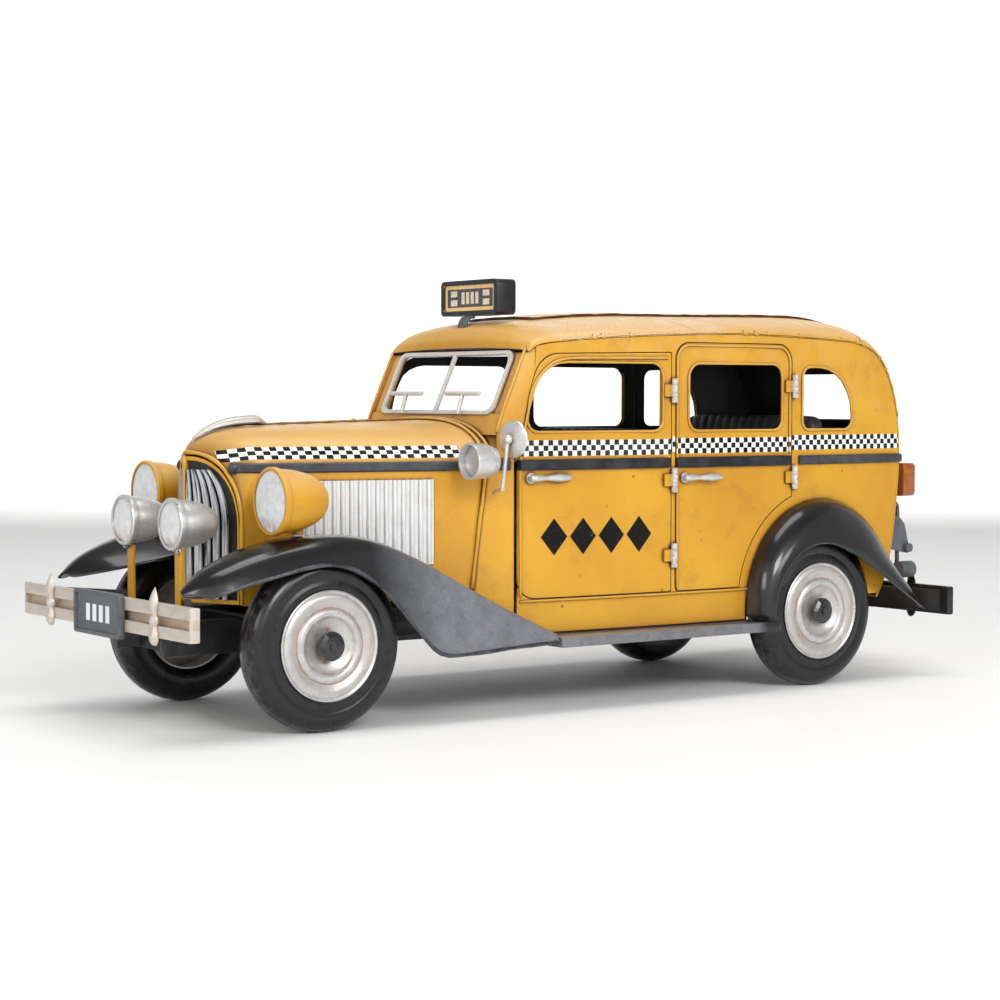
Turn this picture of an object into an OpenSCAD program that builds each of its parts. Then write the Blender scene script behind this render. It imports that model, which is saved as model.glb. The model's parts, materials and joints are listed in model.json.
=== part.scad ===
// Pressed-tin toy taxi with a friction drive, four hinged doors and turning wheels.
// +X is forward, +Y is the car's left side and +Z is up, in millimetres.
// The origin is on the ground, under the middle of the car.

/* [Chassis] */
// Distance between the two axles
wheelbase = 250; // [248:0.5:252]
// Place of the front axle ahead of the origin
front_axle_x = 130; // [129:0.5:131]
// Thickness of the pressed sheet
sheet_t = 1; // [0.8:0.1:1.1]
// Half the distance between the chassis rails' outer faces
rail_y = 22; // [21:0.5:23]

/* [Wheels] */
// Radius of the tyres
tyre_r = 33; // [32:0.25:33.5]
// Distance from the car's middle to a tyre's outer face
tyre_out_y = 62; // [61:0.25:62.5]
// Width of a tyre
tyre_w = 14; // [13:0.25:14.5]
// Radius of the pressed wheel disc
disc_r = 21; // [20:0.25:21.5]
// Radius of the axle rods
axle_r = 2; // [1.6:0.1:2.2]

/* [Body] */
// Half width of the cabin at its widest place
cabin_half = 55.9; // [55:0.1:56.5]
// Radius of the long bulge of the cabin's sides, seen from above
side_r = 1150; // [1100:10:1250]
// Height of the lower edge of the sills
sill_z = 31; // [30.8:0.1:32]
// Height of the lower edge of the doors
door_z = 45; // [44.5:0.25:46]
// Height of the lower edge of the windows
window_z = 112; // [111:0.5:113]
// Height of the upper edge of the windows
window_top_z = 140.5; // [139:0.5:141]
// Lower edge of the belt moulding
belt_z = 97; // [96:0.25:97.5]
// Height of the belt moulding
belt_h = 3.7; // [3:0.1:4]
// How far the belt moulding stands out
belt_out = 1.2; // [0.8:0.1:1.4]

/* [Doors] */
// Hinge line of the front doors
front_hinge_x = -41.5; // [-42:0.1:-41]
// Hinge line of the rear doors
rear_hinge_x = -109.5; // [-110:0.1:-109]
// Gap round each door
door_gap = 0.4; // [0.35:0.05:0.5]
// Radius of the hinge barrels
barrel_r = 1.3; // [1.2:0.05:1.35]
// Radius of the hinge pins
pin_r = 0.6; // [0.5:0.05:0.7]

/* [Front end] */
// Foremost point of the grille's ridge
grille_x = 157; // [156:0.5:158]
// Half width of the grille
grille_half = 25.6; // [25:0.1:26]
// Radius of the headlamps at the rim
headlamp_r = 12.9; // [12.5:0.1:12.9]
// Radius of the fog lamps at the rim
foglamp_r = 10; // [9.5:0.1:10.2]
// Half width of the bumpers
bumper_half = 71.5; // [70:0.5:72]

/* [Friction drive] */
// Module of the gear teeth
gear_m = 0.8; // [0.8:0.01:0.81]
// Teeth of the two wheels of the train
wheel_teeth = 30; // [30:2:32]
// Teeth of the two pinions of the train
pinion_teeth = 12; // [12:2:14]
// Width of a gear
gear_w = 3; // [2.5:0.25:3]
// Radius of the flywheel
flywheel_r = 13; // [12:0.25:13]

/* [Hidden] */
$fn = 48;

YELLOW = "#e0a52d";
SATIN = "#3a3d42";
BLACK = "#17181a";
SILVER = "#c9c8c4";
TYRE = "#26282b";
AMBER = "#7a3d12";
STEEL = "#8d9094";

rear_axle_x = front_axle_x - wheelbase;
axle_z = tyre_r;
fine_fn = 1440;
run_gap = 0.05;
side_mid_x = -75.5;
rail_w = 4;
rail_z = 28;
floor_z = 41;
floor_t = 1.2;
hood_rear_half = 46;
hood_side_x0 = 146.5;
hood_side_x1 = 50;
hood_base_z = 46;
hood_shoulder_z = 97;
screen_low = [40.6, 119.4];
screen_high = [29.6, 143.8];
screen_half = 41;
barrel_h = 5;
knuckle_h = 2.4;
bumper_z = 38.5;
bumper_h = 12.6;
rear_bumper_drop = 10.4;
bumper_back_x = 189.4;
bumper_bar_x = 191;
bumper_front_x = 193.4;
upright_y = 44.8;
headlamp_at = [149.6, 51.5, 87.2];
foglamp_at = [175, 20, 78];
sidelamp_at = [67.7, 58, 101];
mirror_at = [44, 60, 109.5];
pressure_angle = 25;
centre_distance = gear_m * (wheel_teeth + pinion_teeth) / 2;
idler_angle = 50;
idler_at = [rear_axle_x, axle_z] + centre_distance * [cos(idler_angle), sin(idler_angle)];
flywheel_at = idler_at + [centre_distance, 0];
shaft_r = 1.2;
plate_y = 11;
steering_centre = [10, 22, 104];
steering_tilt = 38;
column_r = 1.1;
column_l = 34;
full_x = 130;
screen_h = norm(screen_high - screen_low);
grille_angle = atan2(grille_x - hood_side_x0, grille_half);
grille_w = norm([grille_x - hood_side_x0, grille_half]);
handle_post_r = 0.9;
stage_one = [-3.5, -3.5 + gear_w];
stage_two = [2, 2 + gear_w];

// The seam where the turret top meets the cabin's side, from the windscreen over to the tail (x, z)
seam_keys = [
  [30.5, 145], [25.5, 147.8], [14, 149.6], [-20, 152], [-75, 153.8], [-130, 152.3], [-152, 150.3],
  [-165, 144], [-173, 132], [-177.5, 117.7], [-179, 100], [-176.5, 75], [-172, 50], [-164, 36]
];
// The middle line of the turret top at the same stations (x, z)
crown_keys = [
  [30.5, 146.2], [27.3, 152], [20.5, 157.2], [-20, 161.2], [-75, 161.9], [-130, 163], [-155, 161],
  [-170, 154], [-179.5, 141], [-184, 122], [-186, 100], [-184, 75], [-178, 50], [-169, 36]
];
roof_end = 6;
// Depth of the turret's flange below the seam
flange = 0.8;

// Left front fender from its tip to the running board: edge on the hood side, crest, shoulder (x, y, z)
fender_inner = [
  [184, 46.5, 54], [171, 35, 57.5], [149, 28, 62], [127, 30.4, 66], [107, 34.6, 64],
  [84, 39.6, 55.5], [52, 47.6, 41.5], [26, 53.2, 31.4]
];
fender_crest = [
  [186, 49.5, 55.6], [175, 47.5, 64], [152, 45, 71.6], [129, 45.5, 73.6], [106, 47.5, 71],
  [84, 51, 60.5], [52, 55.5, 43.8], [26, 58, 31.8]
];
fender_shoulder = [
  [187, 52, 54.8], [178, 57.5, 60.5], [160, 59.6, 68], [131, 60, 73], [107, 60.4, 69.6],
  [83.6, 61.5, 58.8], [52, 63, 43.2], [25.6, 64.5, 31.6]
];
fender_lip = [
  [186.4, 53.6, 53.6], [177, 61.5, 53.8], [161.5, 65.6, 58.4], [130, 66, 63.6], [108, 66, 53.2],
  [82.4, 66, 25.8], [52, 66.3, 27], [25.4, 66.5, 28.2]
];

rear_root_c = [-126, 38];
rear_root_r = 44;
rear_lip_c = [-118, 34];
rear_lip_r = 29;
rear_tail = [-186, 60, 31];

// ---- helpers ------------------------------------------------------------------------------

function mix(a, b, t) = a + (b - a) * t;
function unit(v) = v / norm(v);
function side_y(x) = cabin_half - side_r + sqrt(side_r * side_r - pow(x - side_mid_x, 2));
function hood_half(x) =
  mix(grille_half, hood_rear_half, (hood_side_x0 - x) / (hood_side_x0 - hood_side_x1));

// Smooth curve through key points, t from 0 to the last point's number
function smooth(keys, t) =
  let (last = len(keys) - 1, i = min(floor(t), last - 1), f = t - i,
       a = keys[max(i - 1, 0)], b = keys[i], c = keys[i + 1], d = keys[min(i + 2, last)])
  0.5 * (2 * b + (c - a) * f + (2 * a - 5 * b + 4 * c - d) * f * f
         + (3 * b - a - 3 * c + d) * f * f * f);

// Straight lines between key points
function straight(keys, t) =
  let (i = min(floor(t), len(keys) - 2)) mix(keys[i], keys[i + 1], t - i);

// The points of a polygon whose corners, given as [x, y, radius], are rounded
function rounded(corners, steps = 6) = [
  for (i = [0 : len(corners) - 1])
    let (n = len(corners), q = [corners[i][0], corners[i][1]], r = corners[i][2],
         p = corners[(i + n - 1) % n], s = corners[(i + 1) % n],
         a = unit([p[0], p[1]] - q), b = unit([s[0], s[1]] - q), half = acos(a * b) / 2)
    each r == 0 ? [q] :
      let (c = q + unit(a + b) * r / sin(half), t1 = q + a * r / tan(half) - c,
           t2 = q + b * r / tan(half) - c, a1 = atan2(t1[1], t1[0]),
           turn = (atan2(t2[1], t2[0]) - a1 + 540) % 360 - 180)
      [for (k = [0 : steps]) c + r * [cos(a1 + turn * k / steps), sin(a1 + turn * k / steps)]]
];

function grid_normal(g, i, j) =
  unit(cross(g[min(i + 1, len(g) - 1)][j] - g[max(i - 1, 0)][j],
             g[i][min(j + 1, len(g[0]) - 1)] - g[i][max(j - 1, 0)]));

// A closed sheet of even thickness under a grid of points, rows by columns turning outward
module sheet(g, t = sheet_t) {
  n = len(g);
  m = len(g[0]);
  inner = [for (i = [0 : n - 1]) [for (j = [0 : m - 1]) g[i][j] - t * grid_normal(g, i, j)]];
  points = concat([for (row = g) each row], [for (row = inner) each row]);
  function at(i, j) = i * m + j;
  function under(i, j) = n * m + i * m + j;
  faces = [
    for (i = [0 : n - 2]) for (j = [0 : m - 2])
      each [[at(i, j), at(i, j + 1), at(i + 1, j + 1)], [at(i, j), at(i + 1, j + 1), at(i + 1, j)],
            [under(i, j), under(i + 1, j), under(i + 1, j + 1)],
            [under(i, j), under(i + 1, j + 1), under(i, j + 1)]],
    for (j = [0 : m - 2])
      each [[at(0, j + 1), at(0, j), under(0, j)], [at(0, j + 1), under(0, j), under(0, j + 1)],
            [at(n - 1, j), at(n - 1, j + 1), under(n - 1, j + 1)],
            [at(n - 1, j), under(n - 1, j + 1), under(n - 1, j)]],
    for (i = [0 : n - 2])
      each [[at(i, 0), at(i + 1, 0), under(i + 1, 0)], [at(i, 0), under(i + 1, 0), under(i, 0)],
            [at(i + 1, m - 1), at(i, m - 1), under(i, m - 1)],
            [at(i + 1, m - 1), under(i, m - 1), under(i + 1, m - 1)]]
  ];
  polyhedron(points, faces);
}

module mirrored(side) {
  scale_y = side > 0 ? 0 : 1;
  mirror([0, scale_y, 0]) children();
}

module both_sides() {
  children();
  mirror([0, 1, 0]) children();
}

// Stands an outline drawn in x and z up as a slab between two values of y
module slab(y0, y1) {
  translate([0, y1, 0]) rotate([90, 0, 0]) linear_extrude(y1 - y0) children();
}

module along_x() {
  rotate([0, 90, 0]) children();
}

module rod(from, to, r) {
  d = to - from;
  translate(from)
    rotate([0, acos(d[2] / norm(d)), atan2(d[1], d[0])])
      cylinder(h = norm(d), r = r);
}

module block(low, high) {
  translate(low) cube(high - low);
}

// ---- chassis ------------------------------------------------------------------------------

module chassis_rails() {
  color(BLACK) difference() {
    union() {
      both_sides()
        block([-186, rail_y - rail_w, rail_z], [178, rail_y, floor_z]);
      for (x = [-186, -40, 60, 165])
        block([x, -rail_y, rail_z], [x + 4, rail_y, rail_z + 6]);
    }
    for (x = [front_axle_x, rear_axle_x])
      translate([x, 0, axle_z])
        rotate([90, 0, 0])
          cylinder(h = 60, r = axle_r + run_gap, center = true);
  }
}

module floor_pan() {
  color(BLACK) difference() {
    union() {
      block([-168, -48.6, floor_z], [34, 48.6, floor_z + floor_t]);
      block([34, -24, floor_z], [142, 24, floor_z + floor_t]);
      // the tab bent up to carry the steering column
      block([29, steering_centre[1] - 5, floor_z], [30.2, steering_centre[1] + 5, 96]);
    }
    translate(steering_centre) rotate([0, 90 + steering_tilt, 0])
      cylinder(h = 60, r = column_r + run_gap);
    both_sides()
      block([rear_axle_x - 38, 44, floor_z - 1], [rear_axle_x + 38, 60, floor_z + 3]);
    block([-136, -13, floor_z - 1], [-76, 13, floor_z + 3]);
  }
}

module running_boards() {
  board = rounded([[-86, 52.5, 1], [25, 51.9, 1], [25, 67.8, 1], [-92.5, 67.8, 1.5], [-92.5, 63.4, 1.5],
                   [-86, 63.4, 0]]);
  color(SATIN) both_sides() {
    translate([0, 0, 26.2]) linear_extrude(4) polygon(board);
    for (x = [-70, 10])
      block([x, rail_y, rail_z + 0.2], [x + 6, 52.6, rail_z + 1.8]);
  }
}

// ---- fenders ------------------------------------------------------------------------------

function fender_row(t) =
  let (low = t <= 4 ? smooth([for (i = [0 : 4]) fender_lip[i]], t) : straight(fender_lip, t),
       keys = [low, smooth(fender_shoulder, t), smooth(fender_crest, t), smooth(fender_inner, t)])
  [for (u = [0, 0.33, 0.67, 1, 1.25, 1.5, 1.75, 2, 2.33, 2.67, 3]) smooth(keys, u)];

module front_fender(side) {
  color(SATIN) mirrored(side)
    sheet([for (k = [0 : 21]) fender_row(k / 3)]);
}

// One row of the rear fender: f is 0 at the running board and 1 at the tail
function rear_fender_row(f) =
  let (round = 0.72, g = min(f / round, 1), tail = max(0, (f - round) / (1 - round)),
       ra = mix(-8, 155, g), la = mix(-5, 118, g),
       rp = rear_root_c + rear_root_r * [cos(ra), sin(ra)],
       lp = rear_lip_c + rear_lip_r * [cos(la), sin(la)],
       root = mix([rp[0], side_y(rp[0]) + 0.35, rp[1]], rear_tail + [0, -1.5, 0.6], tail),
       lip = mix([lp[0], 68, lp[1]], rear_tail + [0, 1.5, -0.6], tail))
  [for (a = [90, 75, 60, 45, 30, 15, 0])
    [mix(root[0], lip[0], 1 - cos(a)), mix(root[1], lip[1], sin(a)), mix(root[2], lip[2], 1 - cos(a))]];

module rear_fender(side) {
  color(SATIN) mirrored(side)
    sheet([for (k = [0 : 20]) rear_fender_row(k / 20)]);
}

// ---- cabin --------------------------------------------------------------------------------

// Direction square to the seam, into the side panel, in x and z
function seam_inward(t) =
  let (ahead = smooth(seam_keys, min(t + 0.1, 13)), behind = smooth(seam_keys, max(t - 0.1, 0)),
       d = unit(ahead - behind))
  [-d[1], d[0]];

// The cabin side's curved skin as an endless wall between two distances from its outer face
module side_wall(inner, outer, z0 = 20, z1 = 170) {
  translate([side_mid_x, cabin_half - side_r, z0])
    linear_extrude(z1 - z0)
      intersection() {
        difference() {
          circle(r = side_r + outer, $fn = fine_fn);
          circle(r = side_r + inner, $fn = fine_fn);
        }
        translate([-150, side_r - 60]) square([300, 90]);
      }
}

// The side's outline, a little inside the turret's edge and cut by the rear wheel
module side_outline() {
  inset = [for (k = [0 : 39]) smooth(seam_keys, k / 3) + (flange + 0.2) * seam_inward(k / 3)];
  difference() {
    polygon(concat([for (p = inset) if (p[0] < 26) p], [[-160, sill_z], [35.3, sill_z], [35.3, 43],
                   [28, 120], [26.5, 146.5]]));
    translate([rear_axle_x, axle_z]) circle(r = 38.3);
    translate([-166, 20]) square([9, 18]);
  }
}

module front_door_outline(grow) {
  polygon(rounded([
    [front_hinge_x + 0.5 + door_gap - grow, door_z - grow, 1],
    [35 + grow, door_z - grow, 8], [35 + grow, 98, 0], [29 + grow, 130, 20],
    [24 + grow, 143.6 + grow, 12], [front_hinge_x + 0.5 + door_gap - grow, 144.8 + grow, 1]]));
}

module rear_door_outline(grow) {
  front = front_hinge_x - 1.3 - door_gap + grow;
  back = rear_hinge_x + 0.5 + door_gap - grow;
  difference() {
    polygon(rounded([[back, door_z - grow, 1], [front, door_z - grow, 2],
                     [front, 149 + grow, 7], [back, 149 + grow, 8]]));
    translate(rear_root_c) circle(r = rear_root_r + 4.5 - grow);
  }
}

module front_window() {
  polygon(rounded([[-36.5, window_z, 5], [31.4, window_z, 5], [27.5, window_top_z, 18],
                   [-36.5, window_top_z, 6]]));
}

module rear_window() {
  polygon(rounded([[-103, window_z, 5], [-50, window_z, 5], [-50, window_top_z, 6],
                   [-103, window_top_z, 6]]));
}

module quarter_window() {
  polygon(rounded([[-146.5, window_z, 5], [-115, window_z, 4], [-115, window_top_z - 1, 5],
                   [-146.5, window_top_z - 1, 21]]));
}

// Knuckles of one hinge: the body's pair, or the door's middle barrel
module knuckle(hinge_x, z, z0, z1, dir, bore) {
  y = side_y(hinge_x);
  difference() {
    union() {
      translate([hinge_x, y + barrel_r + 0.1, z + z0]) cylinder(h = z1 - z0, r = barrel_r);
      if (dir > 0)
        block([hinge_x, y + 0.2, z + z0], [hinge_x + 5, y + 1.1, z + z1]);
      if (dir > 0)
        block([hinge_x + 1.2, side_y(hinge_x + 5) - 0.6, z + z0], [hinge_x + 5, y + 0.9, z + z1]);
      if (dir < 0)
        block([hinge_x - 1.25, y - 0.6, z + z0], [hinge_x, y + barrel_r, z + z1]);
    }
    translate([hinge_x, y + barrel_r + 0.1, z - 20]) cylinder(h = 40, r = bore);
  }
}

function front_hinges() = [60, 91.5, 129];
function rear_hinges() = [91.5, 131];

module body_knuckles() {
  for (x = [front_hinge_x, rear_hinge_x])
    for (z = x == front_hinge_x ? front_hinges() : rear_hinges()) {
      knuckle(x, z, barrel_h / 2 + 0.15, barrel_h / 2 + 0.15 + knuckle_h, -1, pin_r);
      knuckle(x, z, -barrel_h / 2 - 0.15 - knuckle_h, -barrel_h / 2 - 0.15, -1, pin_r);
    }
}

module side_panel(side) {
  color(YELLOW) mirrored(side) {
    difference() {
      intersection() {
        side_wall(-sheet_t, 0);
        slab(40, 70) side_outline();
      }
      slab(40, 70) front_door_outline(door_gap);
      slab(40, 70) rear_door_outline(door_gap);
      slab(40, 70) quarter_window();
    }
    // the post behind the gap between the doors
    intersection() {
      side_wall(-3.2, -1.5);
      block([-47, 40, floor_z + floor_t + 0.2], [-37, 70, 148]);
    }
    block([-42.6, side_y(-42) - 3, floor_z + floor_t + 0.2], [-41.2, side_y(-42) - 0.2, 148]);
    body_knuckles();
  }
}

function arch_rise(u) = pow(max(0, 1 - pow(abs(u), 2.5)), 0.6);
function turret_half(t) = side_y(max(smooth(seam_keys, t)[0], -179));

// One row of the turret top: from the left flange over the middle line to the right flange
function turret_row(t) =
  let (s = smooth(seam_keys, t), c = smooth(crown_keys, t), half = turret_half(t),
       low = s + flange * seam_inward(t))
  concat([[low[0], half, low[1]]],
         [for (k = [-8 : 8]) let (u = sin(k * 11.25), rise = arch_rise(u))
           [mix(s[0], c[0], rise), -u * half, mix(s[1], c[1], rise)]],
         [[low[0], -half, low[1]]]);

module roof_panel() {
  color(YELLOW) sheet([for (k = [0 : 18]) turret_row(k * roof_end / 18)]);
}

module rear_panel() {
  rows = 18;
  start = roof_end + 0.03;
  color(YELLOW) difference() {
    sheet([for (k = [0 : rows]) turret_row(start + (len(seam_keys) - 1 - start) * k / rows)]);
    translate([-200, 0, 0]) rotate([90, 0, 90]) linear_extrude(60)
      polygon(rounded([[-21, 116, 6], [21, 116, 6], [21, 137, 6], [-21, 137, 6]]));
    block([-190, -rail_y - 0.4, 30], [-160, rail_y + 0.4, floor_z + floor_t + 0.2]);
  }
}

module windscreen_plane() {
  tilt = atan2(screen_low[0] - screen_high[0], screen_high[1] - screen_low[1]);
  translate([screen_low[0], 0, screen_low[1]])
    rotate([0, -tilt, 0])
      rotate([90, 0, 90])
        children();
}

module windscreen_opening(grow) {
  polygon(rounded([[-screen_half - grow, -grow, 4], [screen_half + grow, -grow, 4],
                   [screen_half + grow, screen_h + grow, 4],
                   [-screen_half - grow, screen_h + grow, 4]]));
}

module windscreen_surround() {
  pillar = [[43.9, 112.6], [41, 121], [36.6, 131], [31.9, 141.5], [30.4, 144.3],
            [27, 144.3], [29.6, 131], [33, 121], [35, 112.6]];
  color(YELLOW) difference() {
    union() {
      intersection() {
        windscreen_plane()
          translate([0, 0, -1.2]) linear_extrude(1.2) translate([-60, -0.1]) square([120, 28]);
        block([0, -48.9, 100], [60, 48.9, 144.3]);
      }
      both_sides() slab(47.9, 48.9) polygon(pillar);
    }
    windscreen_plane() translate([0, 0, -3]) linear_extrude(6) windscreen_opening(-0.2);
  }
}

module windscreen_frame() {
  color(SILVER) windscreen_plane() translate([0, 0, 0.02]) linear_extrude(1.5) {
    difference() {
      windscreen_opening(0.9);
      windscreen_opening(-0.9);
    }
    translate([-0.9, 0]) square([1.8, screen_h]);
  }
}

module wipers() {
  color(SILVER) for (y = [22.2, -20]) {
    rod([44.9, y, 119.2], [42.4, y, 127.6], 0.9);
    rod([42.4, y - 12, 127.6], [42.4, y + 12, 127.6], 0.95);
  }
}

// ---- hood ---------------------------------------------------------------------------------

function hood_top(x) = mix(117, 114.6, (x - 41) / 90);
function hood_rear_x(z) = 53.6 - 0.1175 * (z - 50.6) - 0.2 * max(0, z - 94);

// Left half of a hood section at x, from its lower edge up to the middle
function hood_half_section(half, top) = concat(
  [for (k = [0 : 3]) [half, mix(hood_base_z, hood_shoulder_z, k / 3)]],
  [for (a = [9 : 9 : 90])
    [half * pow(cos(a), 0.72), hood_shoulder_z + (top - hood_shoulder_z) * pow(sin(a), 0.95)]]);

function nose_half_section() = concat(
  [for (k = [0 : 3]) [grille_half, mix(hood_base_z, 78, k / 3)]],
  [for (a = [9 : 9 : 90]) [grille_half * pow(cos(a), 0.85), 78 + 27 * sin(a)]]);

function both_halves(half) =
  concat(half, [for (i = [len(half) - 2 : -1 : 0]) [-half[i][0], half[i][1]]]);

function nose_x(y) = grille_x - abs(y) * (grille_x - hood_side_x0) / grille_half;

function nose_row(t) =
  let (near = both_halves(nose_half_section()),
       far = both_halves(hood_half_section(hood_half(full_x), hood_top(full_x))))
  [for (i = [0 : len(near) - 1])
    let (height = max(0, min(1, (near[i][1] - 78) / 20)), flat = 1 - cos(90 * t), bulge = sin(90 * t))
    [mix(nose_x(near[i][0]), full_x, flat), mix(near[i][0], far[i][0], mix(flat, bulge, height)),
     mix(near[i][1], far[i][1], bulge)]];

function hood_row(t) =
  let (line = both_halves(hood_half_section(1, hood_top(mix(full_x, 45, t)))))
  [for (p = line) let (x = mix(full_x, hood_rear_x(p[1]), t)) [x, p[0] * hood_half(x), p[1]]];

module hood_shell() {
  color(YELLOW)
    sheet(concat([for (k = [0 : 5]) nose_row(k / 6)], [for (k = [0 : 6]) hood_row(k / 6)]));
}

module cowl_panel() {
  front = hood_row(1);
  low = 100;
  back = [for (p = front)
    let (f = max(0, (p[2] - low) / (117 - low)), y = side_y(36) - 0.4)
    [mix(36.4, 38.6, f), p[1] * y / hood_half(hood_rear_x(p[2])) * mix(1, 0.96, f),
     p[2] < hood_base_z + 1 ? p[2] - 14 : f > 0 ? low + 19.2 * pow(f, 0.3) : p[2]]];
  shifted = [for (p = front) p - [0.5, 0, p[2] < hood_base_z + 1 ? 8 : 0]];
  color(YELLOW) sheet([shifted, mix(shifted, back, 0.4), mix(shifted, back, 0.75), back]);
}

module louvre_panels() {
  color(SILVER) both_sides()
    translate([70, hood_half(70) + 0.1, 0])
      rotate([0, 0, atan2(hood_half(128) - hood_half(70), 58)]) {
        difference() {
          union() {
            block([0, 0, 60], [58, 0.5, 93.6]);
            for (k = [0 : 15])
              translate([2 + k * 3.6, 0.5, 60]) cylinder(h = 33.6, r = 1, $fn = 24);
          }
          block([-1, -2, 59], [60, 0, 95]);
          slab(-3, 3) polygon([[12, 59], [60, 59], [60, 69.5], [46, 69.5], [26, 66.5]]);
        }
      }
}

// The grille is a shallow V: each half is drawn flat from the ridge outward (w, z)
module grille_half_plane() {
  translate([grille_x, 0, 0]) rotate([0, 0, 90 + grille_angle]) rotate([90, 0, 0]) children();
}

function grille_edge(inset) = concat(
  [[0, 46.5 + inset], [grille_w - 1.2 - inset, 46.5 + inset]],
  [for (a = [0 : 9 : 90])
    [(grille_w - 1.2 - inset) * pow(cos(a), 0.85), 77 + (26.2 - inset) * sin(a)]]);

module grille_shell() {
  color(YELLOW) both_sides() grille_half_plane()
    translate([0, 0, -0.9]) linear_extrude(2) difference() {
      polygon(grille_edge(0));
      translate([0.9, 0]) polygon(grille_edge(1.6));
    }
}

// One bar: the strip between two shares of the half width, so that all bars meet at the top
module grille_strip(low, high) {
  difference() {
    scale([high, 1]) polygon(grille_edge(1.65));
    if (low > 0) scale([low, 1]) translate([0, 0.02]) polygon(grille_edge(1.5));
  }
}

module grille_bars() {
  shares = [[0.2, 0.33], [0.4, 0.5], [0.57, 0.68], [0.75, 0.86]];
  color(SILVER) both_sides() grille_half_plane() {
    translate([0, 0, -0.5]) linear_extrude(0.6)
      intersection() {
        polygon(grille_edge(1.65));
        translate([0.95, 40]) square([40, 80]);
      }
    translate([0, 0, 0.1]) linear_extrude(1.5) intersection() {
      translate([0.95, 40]) square([40, 58]);
      union() {
        grille_strip(0, 0.13);
        for (s = shares) grille_strip(s[0], s[1]);
      }
    }
  }
}

module hood_ornament() {
  color(SILVER) translate([126.5, 0, 117.5]) rotate([0, 10, 0]) difference() {
    along_x() rotate_extrude()
      polygon([[0, 0], [1.2, 0.3], [2.3, 6], [2.6, 14], [2.1, 20], [0.9, 24], [0, 24.4]]);
    block([-1, -5, -6], [26, 5, -1.1]);
  }
}

// ---- belt mouldings -----------------------------------------------------------------------

module belt_band(inner, outer) {
  side_wall(inner, outer, belt_z, belt_z + belt_h);
}

module belt_mouldings() {
  tail = [for (k = [-8 : 8]) let (u = sin(k * 11.25))
    [mix(-179, -186, arch_rise(u)), -u * side_y(-179)]];
  color(SATIN) {
    both_sides() {
      intersection() {
        belt_band(0.02, belt_out);
        block([-178.6, 40, 0], [rear_hinge_x - 2.6, 70, 200]);
      }
      translate([57, hood_half(57) + 0.1, belt_z])
        rotate([0, 0, atan2(hood_half(140) - hood_half(57), 83)])
          cube([75, 1.1, belt_h - 0.4]);
    }
    translate([0, 0, belt_z]) linear_extrude(belt_h)
      polygon(concat([for (p = tail) [p[0] - belt_out - 0.1, p[1] * 1.015]],
                     [for (i = [16 : -1 : 0]) [tail[i][0] - 0.1, tail[i][1] * 0.998]]));
  }
}

// ---- doors --------------------------------------------------------------------------------

module door_skin(low_x, high_x) {
  intersection() {
    side_wall(-sheet_t, 0);
    slab(40, 70) children();
  }
  // the belt moulding pressed across the door
  intersection() {
    belt_band(-0.4, belt_out);
    block([low_x, 40, 0], [high_x, 70, 200]);
  }
}

module door_front(side) {
  color(YELLOW) mirrored(side) difference() {
    union() {
      door_skin(front_hinge_x + 3, 34.4) difference() {
        front_door_outline(0);
        front_window();
      }
      for (z = front_hinges())
        knuckle(front_hinge_x, z, -barrel_h / 2, barrel_h / 2, 1, pin_r + run_gap);
    }
    handle_hole(29.5, 93.5);
  }
}

module door_rear(side) {
  color(YELLOW) mirrored(side) difference() {
    union() {
      door_skin(rear_hinge_x + 3, front_hinge_x - 1.9) difference() {
        rear_door_outline(0);
        rear_window();
      }
      for (z = rear_hinges())
        knuckle(rear_hinge_x, z, -barrel_h / 2, barrel_h / 2, 1, pin_r + run_gap);
    }
    handle_hole(-47.5, 92.4);
  }
}

module handle_hole(x, z) {
  translate([x, 70, z]) rotate([90, 0, 0]) cylinder(h = 30, r = handle_post_r);
}

module handle(side, x, z) {
  y = side_y(x);
  color(SILVER) mirrored(side) {
    translate([x, y - 1.2, z]) rotate([-90, 0, 0]) cylinder(h = 3.2, r = handle_post_r);
    translate([x, y + 0.25, z]) rotate([-90, 0, 0]) cylinder(h = 1, r = 2.2);
    translate([x + 2, y + 2.9, z]) rotate([0, -90, 0]) rotate_extrude()
      polygon([[0, 0], [1.2, 0.4], [1.5, 3], [1, 8], [1.7, 15], [1.2, 20], [0, 21.5]]);
  }
}

module hinge_pins() {
  reach = barrel_h / 2 + 0.15 + knuckle_h;
  color(SILVER) both_sides()
    for (x = [front_hinge_x, rear_hinge_x])
      for (z = x == front_hinge_x ? front_hinges() : rear_hinges())
        translate([x, side_y(x) + barrel_r + 0.1, z - reach]) cylinder(h = 2 * reach, r = pin_r);
}

// ---- cabin fittings -----------------------------------------------------------------------

module seat(x, half, base_z, top_z, depth) {
  color(BLACK) {
    slab(-half, half) polygon(rounded([
      [x - 9, base_z, 1], [x + depth, base_z, 1], [x + depth + 1, base_z + 14, 4],
      [x + 2, base_z + 13, 2], [x - 3, top_z, 4], [x - 13, top_z, 4]]));
  }
}

module front_seat() {
  seat(-40, 45, floor_z + floor_t + 16, 112.5, 26);
  color(BLACK) block([-46, -40, floor_z + floor_t], [-18, 40, floor_z + floor_t + 16]);
}

module rear_seat() {
  seat(-128, 44.5, 63, 118, 34);
  color(BLACK) {
    for (s = [-1, 1])
      block([-126, s * 30 - 10, floor_z + floor_t], [-98, s * 30 + 10, 63]);
  }
}

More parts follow.
